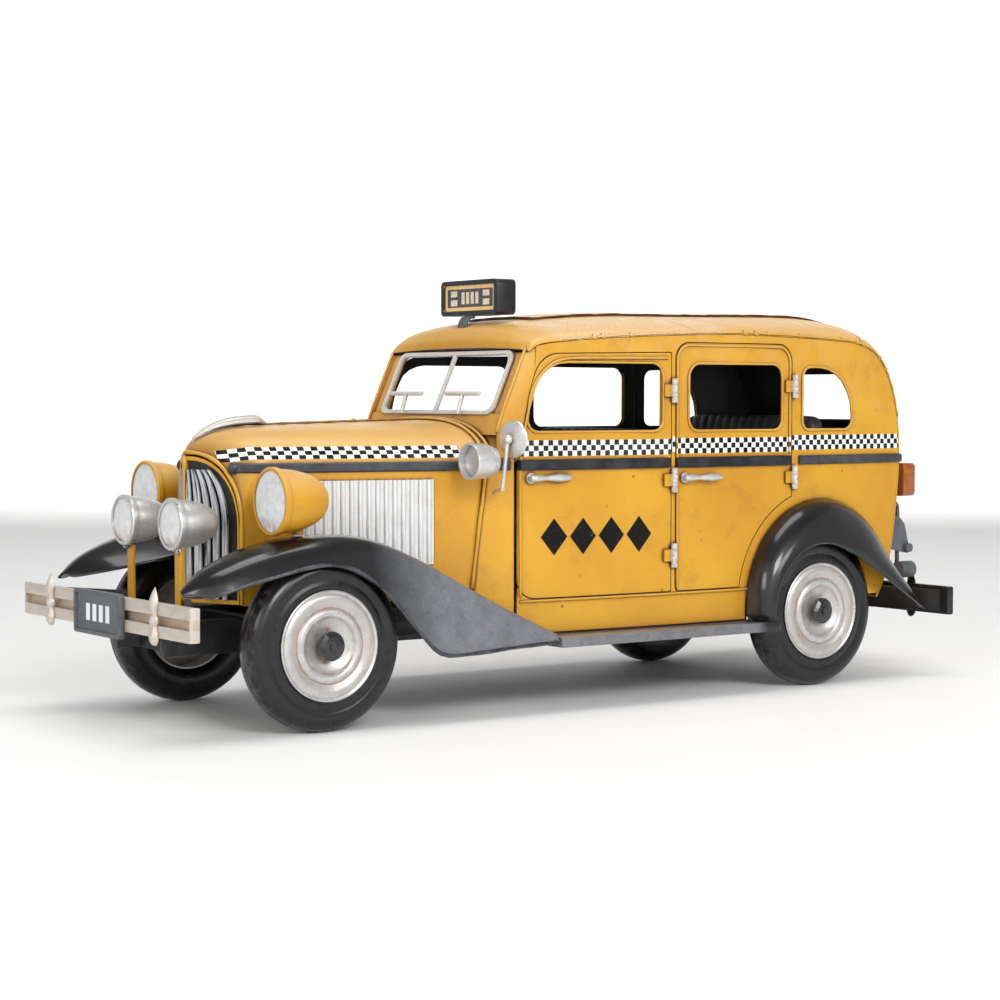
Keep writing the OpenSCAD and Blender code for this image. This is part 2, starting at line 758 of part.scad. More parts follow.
module steering_wheel() {
  color(BLACK) translate(steering_centre) rotate([0, 90 + steering_tilt, 0]) {
    rotate_extrude() translate([11, 0]) circle(r = 1.1, $fn = 24);
    for (a = [90, 210, 330])
      rotate([0, 0, a]) rotate([0, 90, 0]) cylinder(h = 10.6, r = 0.7, $fn = 24);
    cylinder(h = 3, r1 = 2.6, r2 = 1.8, center = true);
    cylinder(h = column_l, r = column_r);
  }
}

// ---- bumpers and plates -------------------------------------------------------------------

module bumper() {
  color(SILVER) {
    block([bumper_back_x, -bumper_half, bumper_z + 0.6],
          [bumper_bar_x, bumper_half, bumper_z + bumper_h - 0.6]);
    for (z = [bumper_z, bumper_z + bumper_h - 4.4])
      translate([0, 0, z]) linear_extrude(4.4)
        polygon(rounded([[bumper_bar_x - 0.6, -bumper_half, 0.3], [bumper_front_x, -bumper_half, 1],
                         [bumper_front_x, bumper_half, 1], [bumper_bar_x - 0.6, bumper_half, 0.3]]));
    for (s = [-1, 1])
      translate([bumper_bar_x, s * (bumper_half - 0.6), bumper_z + bumper_h / 2])
        rotate([90, 0, 0]) intersection() {
          cylinder(h = 1.2, r = bumper_h / 2, center = true);
          block([-1.6, -7, -1], [2.2, 7, 1]);
        }
  }
}

module upright() {
  color(SILVER) difference() {
    translate([bumper_front_x, 0, bumper_z]) rotate_extrude()
      polygon([[0, -3.1], [1.4, -2.6], [2.3, -1.2], [2.5, 0.6], [1.9, 2.6], [1.6, 4.2], [2.2, 5.2],
               [2.4, 6.3], [2.2, 7.4], [1.6, 8.4], [1.9, 10], [2.4, 12.2], [2.2, 14], [1.2, 16.6],
               [0, 18.6]]);
    block([bumper_front_x - 4, -5, 30], [bumper_front_x + 0.02, 5, 60]);
  }
}

module at_rear_bumper() {
  translate([0, 0, -rear_bumper_drop]) mirror([1, 0, 0]) children();
}

module front_bumper() {
  bumper();
}

module rear_bumper() {
  at_rear_bumper() bumper();
}

module bumper_uprights() {
  both_sides() translate([0, upright_y, 0]) {
    upright();
    at_rear_bumper() upright();
  }
}

module bumper_arm(x0, z) {
  color(BLACK) translate([0, 0, z]) linear_extrude(10)
    polygon([[bumper_back_x - 0.05, 65], [bumper_back_x - 0.05, 67], [x0, 24], [x0, rail_y + 0.05],
             [x0 + 2, rail_y + 0.05]]);
}

module bumper_arms() {
  both_sides() {
    bumper_arm(168, bumper_z + 1.2);
    translate([0, 0, -rear_bumper_drop]) mirror([1, 0, 0]) bumper_arm(178, bumper_z + 1.2);
  }
}

module number_plate() {
  color(SATIN) difference() {
    translate([bumper_front_x + 0.02, 0, 0]) rotate([90, 0, 90]) linear_extrude(2.5)
      polygon(rounded([[-19.6, 35.6, 1.5], [19.6, 35.6, 1.5], [19.6, 52.4, 1.5], [-19.6, 52.4, 1.5]]));
    block([bumper_front_x + 1.7, -18, 37.2], [bumper_front_x + 5, 18, 50.8]);
  }
}

// ---- lamps and mirrors --------------------------------------------------------------------

// A bullet lamp body drawn from its open face backward
module lamp_body(r, length, lens_r) {
  rotate([0, -90, 0]) rotate_extrude()
    polygon(concat(
      [[0, 1.4], [lens_r + run_gap, 1.4], [lens_r + run_gap, 0], [r - 0.4, 0], [r, 0.5], [r, 2.2],
       [r - 0.7, 2.6]],
      [for (a = [10 : 10 : 80]) [(r - 0.7) * pow(cos(a), 0.8), 2.6 + (length - 2.6) * sin(a)]],
      [[0, length]]));
}

module headlamps() {
  color(YELLOW) both_sides() {
    translate(headlamp_at) lamp_body(headlamp_r, 24, headlamp_r - 1.4);
    translate([headlamp_at[0] - 12, headlamp_at[1], 74.5]) cylinder(h = 4, r = 2.2);
  }
}

module fog_lamps() {
  color(SILVER) both_sides() translate(foglamp_at) lamp_body(foglamp_r, 20, foglamp_r - 1.6);
}

module lens(r, bulge) {
  translate([-1.38, 0, 0]) along_x() rotate_extrude()
    polygon([[0, 0], [r, 0], [r, 0.9], [r * 0.7, 0.9 + bulge * 0.6], [r * 0.35, 0.9 + bulge * 0.9],
             [0, 0.9 + bulge]]);
}

module lamp_lenses() {
  color(SILVER) both_sides() {
    translate(headlamp_at) lens(headlamp_r - 1.4, 0.5);
    translate(foglamp_at) lens(foglamp_r - 1.6, 0.6);
  }
}

module fog_lamp_posts() {
  x = foglamp_at[0] - 4;
  color(YELLOW) both_sides()
    difference() {
      block([x - 0.7, foglamp_at[1] - 2.2, floor_z], [x + 0.7, foglamp_at[1] + 2.2, 72]);
      translate(foglamp_at) rotate([0, -90, 0]) cylinder(h = 24, r = foglamp_r + 0.05);
    }
}

module side_lamps() {
  color(SILVER) both_sides() {
    translate(sidelamp_at) rotate([0, -90, 0]) rotate_extrude()
      polygon([[0, 3.5], [6.4, 3.5], [6.4, 0], [7.25, 0], [7.2, 4], [6.8, 10], [5.4, 14.6],
               [2.6, 17.2], [0, 17.7]]);
    rod([57, hood_half(57) + 1.3, 99.2], [57, 53.6, 100.4], 1.1);
  }
}

module mirrors() {
  color(SILVER) both_sides() {
    translate(mirror_at) rotate([0, 0, 12]) {
      along_x() rotate_extrude()
        polygon([[0, -0.8], [7.2, -0.4], [7.5, 0], [7.2, 0.5], [4, 1.5], [0, 2]]);
      translate([3.2, 0, 0]) sphere(r = 1.9, $fn = 32);
    }
    rod([47.3, 60.6, 109.2], [48.6, 59, 90], 0.8);
    rod([48.6, 59.2, 90], [46.6, 50.2, 88], 0.8);
  }
}

module roof_sign_box() {
  corner = 2.2;
  color(BLACK) difference() {
    translate([14.6, 0, 0]) rotate([90, 0, 90]) linear_extrude(9.7)
      polygon(rounded([[-20.7, 160.4, corner], [20.7, 160.4, corner], [20.7, 175.3, corner],
                       [-20.7, 175.3, corner]]));
    translate([23.5, 0, 0]) rotate([90, 0, 90]) linear_extrude(3)
      polygon(rounded([[-18.3, 162.4, 1.5], [18.3, 162.4, 1.5], [18.3, 173.3, 1.5],
                       [-18.3, 173.3, 1.5]]));
  }
}

module roof_sign_bracket() {
  color(SATIN) difference() {
    slab(-3, 3) translate([23.5, 156.1]) difference() {
      circle(r = 4.2);
      circle(r = 3);
      translate([-10, -10]) square([9.4, 20]);
    }
    block([0, -5, 160.38], [40, 5, 170]);
    block([0, -5, 140], [40, 5, 154.65]);
  }
}

module tail_lamps() {
  color(AMBER) both_sides() translate([-191.8, 0, 0]) rotate([90, 0, 90]) linear_extrude(7.4)
    polygon(rounded([[37.5, 81, 2], [48.5, 81, 2], [48.5, 96.2, 2], [37.5, 96.2, 2]]));
}

module tail_brackets() {
  color(SATIN) both_sides() {
    // hoop seen below the tail lamp
    slab(40.4, 41.8) difference() {
      polygon(rounded([[-188.8, 46, 5], [-178, 46, 2], [-181.6, 79.5, 2], [-188.8, 79.5, 5]]));
      polygon(rounded([[-187.4, 47.4, 4], [-178.9, 47.4, 1.5], [-182.4, 78.1, 1], [-187.4, 78.1, 3.5]]));
    }
    // shield-shaped plate with its knob
    slab(42.1, 43.3) polygon(rounded([[-180, 57, 1], [-180, 68, 2], [-186, 72.5, 2], [-190.6, 68, 2],
                                      [-194.5, 54, 1.5]]));
    translate([-191.6, 43, 57]) rotate([-90, 0, 0]) cylinder(h = 2.8, r = 2);
    // stub pipe behind the body's corner
    translate([-190.4, 47.5, 47.4]) along_x() difference() {
      cylinder(h = 8.2, r = 3.8);
      translate([0, 0, -0.1]) cylinder(h = 2, r = 3);
    }
  }
}

// ---- wheels and axles ---------------------------------------------------------------------

// Turns a shape drawn with its outer side up so that it faces out on one side of the car
module wheel_side(x, side) {
  translate([x, 0, axle_z]) rotate([-90 * side, 0, 0]) children();
}

module tyre(x, side) {
  inner_r = disc_r - 1.4;
  low = tyre_out_y - tyre_w;
  high = tyre_out_y;
  color(TYRE) wheel_side(x, side) rotate_extrude($fn = 96)
    polygon(rounded([[inner_r, low + 1, 0], [disc_r + 1, low, 1], [tyre_r - 3.5, low + 0.6, 3],
                     [tyre_r, low + 4, 3.5], [tyre_r, high - 4, 3.5], [tyre_r - 3.5, high - 0.6, 3],
                     [disc_r + 1, high, 1], [inner_r, high - 1, 0]]));
}

module disc(x, side) {
  face = tyre_out_y + 0.4;
  rim_r = disc_r - 1.4;
  color(SILVER) wheel_side(x, side) rotate_extrude($fn = 96)
    polygon([[axle_r, face - 10], [5, face - 10], [5, face - 3], [12, face - 4.2], [rim_r - 1, face - 3.4],
             [rim_r - 1, face - 12], [rim_r, face - 12], [rim_r, face - 0.7], [disc_r, face - 0.7],
             [disc_r, face - 0.2], [disc_r - 1, face + 0.3], [disc_r - 3, face], [disc_r - 4.6, face - 1],
             [disc_r - 5.4, face + 0.2], [disc_r - 6.4, face + 0.2], [disc_r - 7.4, face - 1.6],
             [9, face - 1.2], [6.6, face], [axle_r, face]]);
}

module hub_nut(x, side) {
  face = tyre_out_y + 0.42;
  color(BLACK) wheel_side(x, side) difference() {
    union() {
      translate([0, 0, face]) cylinder(h = 1.3, r = 5.6);
      translate([0, 0, face + 1.3]) cylinder(h = 1.2, r1 = 5.4, r2 = 4, $fn = 6);
      translate([0, 0, face + 2.5]) cylinder(h = 0.9, r = 1.6);
    }
    translate([0, 0, face - 1]) cylinder(h = 2.2, r = axle_r);
  }
}

module axle(x) {
  color(STEEL) translate([x, 0, axle_z]) rotate([90, 0, 0])
    cylinder(h = 2 * (tyre_out_y + 1.5), r = axle_r, center = true);
}

// ---- friction drive -----------------------------------------------------------------------

function inv_angle(base, r) = let (a = acos(min(1, base / r))) tan(a) * 180 / PI - a;

// One involute gear outline; backlash thins each tooth at the pitch circle
function gear_points(teeth, backlash = 0.1) =
  let (pitch = gear_m * teeth / 2, base = pitch * cos(pressure_angle), tip = pitch + 0.9 * gear_m,
       root = pitch - 1.15 * gear_m, start = max(base, root),
       half = 90 / teeth - backlash / (2 * pitch) * 180 / PI + inv_angle(base, pitch),
       radii = [for (k = [0 : 3]) mix(start, tip, k / 3)])
  [for (i = [0 : teeth - 1]) let (mid = 360 / teeth * i)
    each concat(
      [root * [cos(mid - half), sin(mid - half)]],
      [for (r = radii) let (a = mid - half + inv_angle(base, r)) r * [cos(a), sin(a)]],
      [for (k = [3 : -1 : 0]) let (r = radii[k], a = mid + half - inv_angle(base, r)) r * [cos(a), sin(a)]],
      [root * [cos(mid + half), sin(mid + half)]])];

// A gear on a shaft at [x, z], between two values of y, turned so that it meshes
module gear(at, teeth, y0, y1, turn, hole) {
  translate([at[0], y1, at[1]]) rotate([90, 0, 0]) linear_extrude(y1 - y0) difference() {
    rotate(turn) polygon(gear_points(teeth));
    circle(r = hole);
  }
}

module shaft(at, y0, y1, r) {
  translate([at[0], y1, at[1]]) rotate([90, 0, 0]) cylinder(h = y1 - y0, r = r);
}

module gearbox_frame() {
  outline = rounded([[-131, 36, 3], [-129, 26, 4], [-113, 26, 4], [-77, 34, 4], [-77, 59.6, 2],
                     [-118, 59.6, 2]]);
  color(STEEL) difference() {
    union() {
      for (y = [-plate_y, plate_y - 1]) slab(y, y + 1) polygon(outline);
      block([-117, -plate_y, 59], [-78, plate_y, 60]);
    }
    shaft([rear_axle_x, axle_z], -20, 20, axle_r + run_gap);
    shaft(idler_at, -20, 20, shaft_r + run_gap);
    shaft(flywheel_at, -20, 20, shaft_r + run_gap);
  }
}

module axle_gear() {
  color(STEEL) gear([rear_axle_x, axle_z], wheel_teeth, stage_one[0], stage_one[1], idler_angle, axle_r);
}

module idler_cluster() {
  mesh_turn = idler_angle + 180 + 180 / pinion_teeth;
  color(STEEL) {
    difference() {
      union() {
        gear(idler_at, pinion_teeth, stage_one[0], stage_one[1] + 2, mesh_turn, shaft_r);
        gear(idler_at, wheel_teeth, stage_two[0], stage_two[1], 0, shaft_r);
      }
      shaft(idler_at, -20, 20, shaft_r);
    }
    shaft(idler_at, -plate_y - 1, plate_y + 1, shaft_r);
  }
}

module flywheel() {
  mesh_turn = 180 + 180 / pinion_teeth;
  color(STEEL) {
    difference() {
      union() {
        gear(flywheel_at, pinion_teeth, stage_two[0] - 0.5, stage_two[1] + 0.5, mesh_turn, shaft_r);
        shaft(flywheel_at, -9.4, -4.4, flywheel_r);
      }
      shaft(flywheel_at, -20, 20, shaft_r);
    }
    shaft(flywheel_at, -plate_y - 1, plate_y + 1, shaft_r);
  }
}

// ---- the nodes ----------------------------------------------------------------------------

chassis_rails();
floor_pan();
running_boards();
front_fender(1);  // front_fender_left
front_fender(-1);  // front_fender_right
rear_fender(1);  // rear_fender_left
rear_fender(-1);  // rear_fender_right
side_panel(1);  // side_panel_left
side_panel(-1);  // side_panel_right
roof_panel();
rear_panel();
cowl_panel();
windscreen_surround();
windscreen_frame();
wipers();
hood_shell();
louvre_panels();
grille_shell();
grille_bars();
hood_ornament();
belt_mouldings();
front_seat();
rear_seat();
steering_wheel();
front_bumper();
rear_bumper();
bumper_uprights();
bumper_arms();
number_plate();
headlamps();
lamp_lenses();
fog_lamps();
fog_lamp_posts();
side_lamps();
mirrors();
roof_sign_box();
roof_sign_bracket();
tail_lamps();
tail_brackets();
door_front(1);  // door_front_left
door_front(-1);  // door_front_right
door_rear(1);  // door_rear_left
door_rear(-1);  // door_rear_right
handle(1, 29.5, 93.5);  // handle_front_left
handle(-1, 29.5, 93.5);  // handle_front_right
handle(1, -47.5, 92.4);  // handle_rear_left
handle(-1, -47.5, 92.4);  // handle_rear_right
hinge_pins();
axle(front_axle_x);  // front_axle
axle(rear_axle_x);  // rear_axle
for (s = [-1, 1]) tyre(front_axle_x, s);  // front_tyres
for (s = [-1, 1]) tyre(rear_axle_x, s);  // rear_tyres
for (s = [-1, 1]) disc(front_axle_x, s);  // front_discs
for (s = [-1, 1]) disc(rear_axle_x, s);  // rear_discs
for (s = [-1, 1]) hub_nut(front_axle_x, s);  // front_hub_nuts
for (s = [-1, 1]) hub_nut(rear_axle_x, s);  // rear_hub_nuts
gearbox_frame();
axle_gear();
idler_cluster();
flywheel();
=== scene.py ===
import json
import random
from math import acos, copysign, cos, pi, radians, sin, sqrt, tan

import bmesh
import bpy
from mathutils import Matrix, Vector
from mathutils.bvhtree import BVHTree

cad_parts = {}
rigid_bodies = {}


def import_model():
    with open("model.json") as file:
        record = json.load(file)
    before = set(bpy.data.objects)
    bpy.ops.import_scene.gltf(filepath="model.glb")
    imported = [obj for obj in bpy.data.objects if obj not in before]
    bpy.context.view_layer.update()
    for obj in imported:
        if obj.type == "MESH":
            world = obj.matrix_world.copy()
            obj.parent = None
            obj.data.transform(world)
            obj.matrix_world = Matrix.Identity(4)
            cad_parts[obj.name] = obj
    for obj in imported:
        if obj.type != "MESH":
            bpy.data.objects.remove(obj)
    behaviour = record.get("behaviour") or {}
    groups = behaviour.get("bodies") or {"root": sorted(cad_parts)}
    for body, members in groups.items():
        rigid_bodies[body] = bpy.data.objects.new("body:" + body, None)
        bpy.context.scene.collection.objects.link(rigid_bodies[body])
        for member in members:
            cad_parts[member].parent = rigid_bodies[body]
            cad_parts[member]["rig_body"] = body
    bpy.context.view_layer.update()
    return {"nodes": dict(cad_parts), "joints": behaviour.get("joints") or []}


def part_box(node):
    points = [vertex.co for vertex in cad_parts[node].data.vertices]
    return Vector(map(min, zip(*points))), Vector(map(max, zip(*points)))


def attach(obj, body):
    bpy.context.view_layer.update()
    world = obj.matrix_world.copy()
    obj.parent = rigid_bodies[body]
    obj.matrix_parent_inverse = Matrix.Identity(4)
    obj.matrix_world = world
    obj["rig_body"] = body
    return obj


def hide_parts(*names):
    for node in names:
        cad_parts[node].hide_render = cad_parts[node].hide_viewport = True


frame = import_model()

# The looks of a pressed-tin toy taxi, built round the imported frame.
# Shapes are written in millimetres in the frame's own axes and turned into metres by mesh_of().

NODES = frame["nodes"]
MM = 0.001
SIDES = ((1, "left"), (-1, "right"))
RANDOM = random.Random(33)


def srgb(r, g, b):
    """An 8-bit screen colour as linear RGBA."""
    def linear(c):
        c /= 255
        return c / 12.92 if c <= 0.04045 else ((c + 0.055) / 1.055) ** 2.4
    return (linear(r), linear(g), linear(b), 1.0)


OCHRE = srgb(210, 157, 36)
OCHRE_DEEP = srgb(196, 140, 28)
OCHRE_PALE = srgb(208, 161, 82)
WORN = srgb(222, 190, 146)
SHEEN = srgb(214, 176, 122)
GRIME = srgb(92, 50, 22)
SOFT_GRIME_AND_SHADE = srgb(150, 96, 34)
RUST = srgb(120, 62, 26)
CLEAR_BLACK = srgb(14, 15, 18)
DUST_AND_LIGHT_GREY = srgb(116, 118, 124)
INTERIOR = srgb(24, 24, 25)
WHITE_PAINT = srgb(240, 238, 233)
SILVER = srgb(206, 205, 202)
CREAM = srgb(238, 198, 132)

# ---- places taken from the frame


def joint_place(name):
    """Where a joint of the frame sits."""
    return Vector(next(j for j in frame["joints"] if j["name"] == name)["pos_m"]) / MM


def box_of(node):
    """The lowest and highest corner of a CAD node."""
    low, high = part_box(node)
    return low / MM, high / MM


FRONT_AXLE = joint_place("front_axle_spin")
REAR_AXLE = joint_place("rear_axle_spin")
FRONT_HINGE_X = joint_place("door_front_left_swing").x
REAR_HINGE_X = joint_place("door_rear_left_swing").x

# The cabin side is an arc seen from above: its radius, its widest place and the half width there
SKIN_RADIUS = 1150
SKIN_MIDDLE = -75.5
SKIN_AT_WIDEST = 55.9


def skin_y(x):
    """How far the cabin's side stands from the middle plane at x."""
    return SKIN_AT_WIDEST - SKIN_RADIUS + sqrt(SKIN_RADIUS ** 2 - (x - SKIN_MIDDLE) ** 2)


def tree(*names):
    """A ray-casting tree over CAD nodes, in millimetres."""
    meshes = [NODES[name].data for name in names]
    shapes = [([v.co / MM for v in mesh.vertices], [p.vertices for p in mesh.polygons]) for mesh in meshes]
    return BVHTree.FromPolygons(*joined(*shapes))


# ---- mesh helpers


def placed(name, data):
    """A new object in the scene."""
    obj = bpy.data.objects.new(name, data)
    bpy.context.scene.collection.objects.link(obj)
    return obj


def mesh_of(name, shape, material, smooth=True):
    """A mesh from a shape (points in millimetres, faces), its faces turned outward."""
    points, faces = shape
    mesh = bpy.data.meshes.new(name)
    mesh.from_pydata([Vector(p) * MM for p in points], [], faces)
    work = bmesh.new()
    work.from_mesh(mesh)
    bmesh.ops.recalc_face_normals(work, faces=work.faces)
    work.to_mesh(mesh)
    work.free()
    mesh.materials.append(material)
    mesh.polygons.foreach_set("use_smooth", [smooth] * len(mesh.polygons))
    return mesh


def add(name, shape, look, body="root", smooth=True, angle=None):
    """A piece from a shape (points in millimetres, faces), riding on a body."""
    obj = placed(name, mesh_of(name, shape, look, smooth))
    if angle is not None:
        split(obj, angle)
    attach(obj, body)
    return obj


def split(obj, angle=35):
    """Smooth shading that breaks at edges sharper than angle."""
    modifier = obj.modifiers.new("split", "EDGE_SPLIT")
    modifier.split_angle = radians(angle)


def joined(*shapes):
    """Several (points, faces) as one."""
    points, faces = [], []
    for some_points, some_faces in shapes:
        base = len(points)
        points += list(some_points)
        faces += [[base + i for i in f] for f in some_faces]
    return points, faces


def quads(rings, size, around=True, closed=False):
    """Faces between neighbouring rings of size points. around closes each ring, closed the row of rings."""
    faces = []
    for i in range(rings if closed else rings - 1):
        a, b = i * size, (i + 1) % rings * size
        for k in range(size if around else size - 1):
            n = (k + 1) % size
            faces.append([a + k, a + n, b + n, b + k])
    return faces


def with_ends(points, size):
    """A solid through rings of size points, with a flat face over its first and last ring."""
    ends = [list(range(size)), list(range(len(points) - size, len(points)))]
    return points, quads(len(points) // size, size) + ends


def slab(outer, inner, columns):
    """A closed sheet from two grids of points, columns in a row, and the numbers of its rim's points."""
    count, rows = len(outer), len(outer) // columns
    rim = list(range(columns)) + [i * columns + columns - 1 for i in range(1, rows)]
    rim += [count - 2 - k for k in range(columns - 1)] + [i * columns for i in range(rows - 2, 0, -1)]
    skin = quads(rows, columns, around=False)
    faces = skin + [[count + v for v in reversed(face)] for face in skin]
    faces += [[a, b, count + b, count + a] for a, b in zip(rim, rim[1:] + rim[:1])]
    return (outer + inner, faces), rim


def turns(count):
    """(cosine, sine) of count even steps round a circle."""
    return [(cos(2 * pi * k / count), sin(2 * pi * k / count)) for k in range(count)]


def mirrored(shape):
    """The same shape on the other side of the car."""
    points, faces = shape
    return [(p[0], -p[1], p[2]) for p in points], [list(reversed(f)) for f in faces]


def tube(path, radius, sides=10, closed=False):
    """A round wire along a path. radius is a number or a function of the share of the way along."""
    path = [Vector(p) for p in path]
    count = len(path)
    size = radius if callable(radius) else (lambda share: radius)
    points, across = [], None
    for i, here in enumerate(path):
        after = path[(i + 1) % count] if closed or i < count - 1 else here
        before = path[i - 1] if closed or i > 0 else here
        along = (after - before).normalized()
        if across is None:
            across = along.orthogonal().normalized()
        across = (across - along * across.dot(along)).normalized()
        other = along.cross(across)
        points += [here + (across * c + other * s) * size(i / (count - 1)) for c, s in turns(sides)]
    faces = quads(count, sides, closed=closed)
    if not closed:
        for ring, tip in ((0, path[0] - path[1]), (count - 1, path[-1] - path[-2])):
            points.append(path[ring] + tip.normalized() * size(ring / (count - 1)) * 0.8)
            last = len(points) - 1
            faces += [[ring * sides + k, ring * sides + (k + 1) % sides, last] for k in range(sides)]
    return points, faces


def lathe(profile, centre, axis, segments=96):
    """A profile of (radius, along) turned about an axis through centre."""
    axis = Vector(axis).normalized()
    across = axis.orthogonal().normalized()
    other = axis.cross(across)
    points = []
    for c, s in turns(segments):
        points += [Vector(centre) + (across * c + other * s) * r + axis * a for r, a in profile]
    size = len(profile)
    faces = quads(segments, size, closed=True)
    return points, [f for f in faces if profile[f[0] % size][0] > 0 or profile[f[1] % size][0] > 0]


def rounded(corners, steps=6):
    """The points of a polygon whose corners (x, z, radius) are rounded."""
    points = []
    for i, (x, z, r) in enumerate(corners):
        here = Vector((x, z))
        a = (Vector(corners[i - 1][:2]) - here).normalized()
        b = (Vector(corners[(i + 1) % len(corners)][:2]) - here).normalized()
        if r == 0:
            points.append(here)
            continue
        half = acos(max(-1, min(1, a.dot(b)))) / 2
        centre = here + (a + b).normalized() * r / sin(half)
        start = here + a * r / tan(half) - centre
        end = here + b * r / tan(half) - centre
        turn = start.angle_signed(end)
        for k in range(steps + 1):
            share = turn * k / steps
            c, s = cos(-share), sin(-share)
            points.append(centre + Vector((start.x * c - start.y * s, start.x * s + start.y * c)))
    return points


def smooth_line(keys, steps=6):
    """A Catmull-Rom line through key points."""
    keys = [Vector(k) for k in keys]
    line = []
    for i in range(len(keys) - 1):
        a, b, c, d = keys[max(i - 1, 0)], keys[i], keys[i + 1], keys[min(i + 2, len(keys) - 1)]
        for k in range(steps):
            f = k / steps
            line.append(0.5 * (2 * b + (c - a) * f + (2 * a - 5 * b + 4 * c - d) * f * f
                               + (3 * b - a - 3 * c + d) * f ** 3))
    return line + [keys[-1]]


def on_side(outline, side, lift):
    """Points (x, z) laid on the cabin's side, lifted off it."""
    return [Vector((p[0], side * (skin_y(p[0]) + lift), p[1])) for p in outline]


def drop_normals(mesh):
    """Take away the normals that came with a CAD mesh."""
    custom = mesh.attributes.get("custom_normal")
    if custom is not None:
        mesh.attributes.remove(custom)


def soften(obj, width=None, angle=32):
    """A CAD node shown with rounded edges and smooth curves. Its own vertices stay."""
    drop_normals(obj.data)
    weld = obj.modifiers.new("weld", "WELD")
    weld.merge_threshold = 2e-6
    if width:
        bevel = obj.modifiers.new("bevel", "BEVEL")
        bevel.width = width * MM
        bevel.segments = 2
        bevel.limit_method = "ANGLE"
        bevel.angle_limit = radians(40)
    split(obj, angle)
    obj.data.polygons.foreach_set("use_smooth", [True] * len(obj.data.polygons))


def smooth_copy(node, material, reshape=None, crease_angle=50, levels=2):
    """A pressed shell: the CAD sheet with its facets turned into one smooth surface."""
    mesh = NODES[node].data.copy()
    mesh.materials.clear()
    mesh.materials.append(material)
    drop_normals(mesh)
    work = bmesh.new()
    work.from_mesh(mesh)
    bmesh.ops.remove_doubles(work, verts=work.verts, dist=2e-6)
    bmesh.ops.join_triangles(work, faces=work.faces, angle_face_threshold=radians(50),
                             angle_shape_threshold=radians(60))
    crease = work.edges.layers.float.get("crease_edge") or work.edges.layers.float.new("crease_edge")
    for edge in work.edges:
        if len(edge.link_faces) == 2 and edge.calc_face_angle() > radians(crease_angle):
            edge[crease] = 0.7
    for face in work.faces:
        face.smooth = True
        face.material_index = 0
    if reshape is not None:
        for vertex in work.verts:
            vertex.co = reshape(vertex.co / MM) * MM
    work.to_mesh(mesh)
    work.free()
    obj = placed(node + "_pressed", mesh)
    modifier = obj.modifiers.new("smooth", "SUBSURF")
    modifier.levels = levels
    modifier.render_levels = levels
    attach(obj, NODES[node]["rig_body"])
    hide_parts(node)
    return obj


# ---- materials


def as_node(operation, swapped=False):
    """A method of Value that makes one Math node."""
    def method(self, other=0.0):
        pair = (other, self) if swapped else (self, other)
        return self.graph.math(operation, *pair)
    return method


class Value:
    """A number inside a material. Python's own arithmetic on it makes Math nodes."""

    def __init__(self, graph, socket):
        self.graph, self.socket = graph, socket

    __add__, __sub__, __rsub__ = as_node("ADD"), as_node("SUBTRACT"), as_node("SUBTRACT", True)
    __mul__, __truediv__, __mod__ = as_node("MULTIPLY"), as_node("DIVIDE"), as_node("FLOORED_MODULO")
    __pow__, __abs__ = as_node("POWER"), as_node("ABSOLUTE")


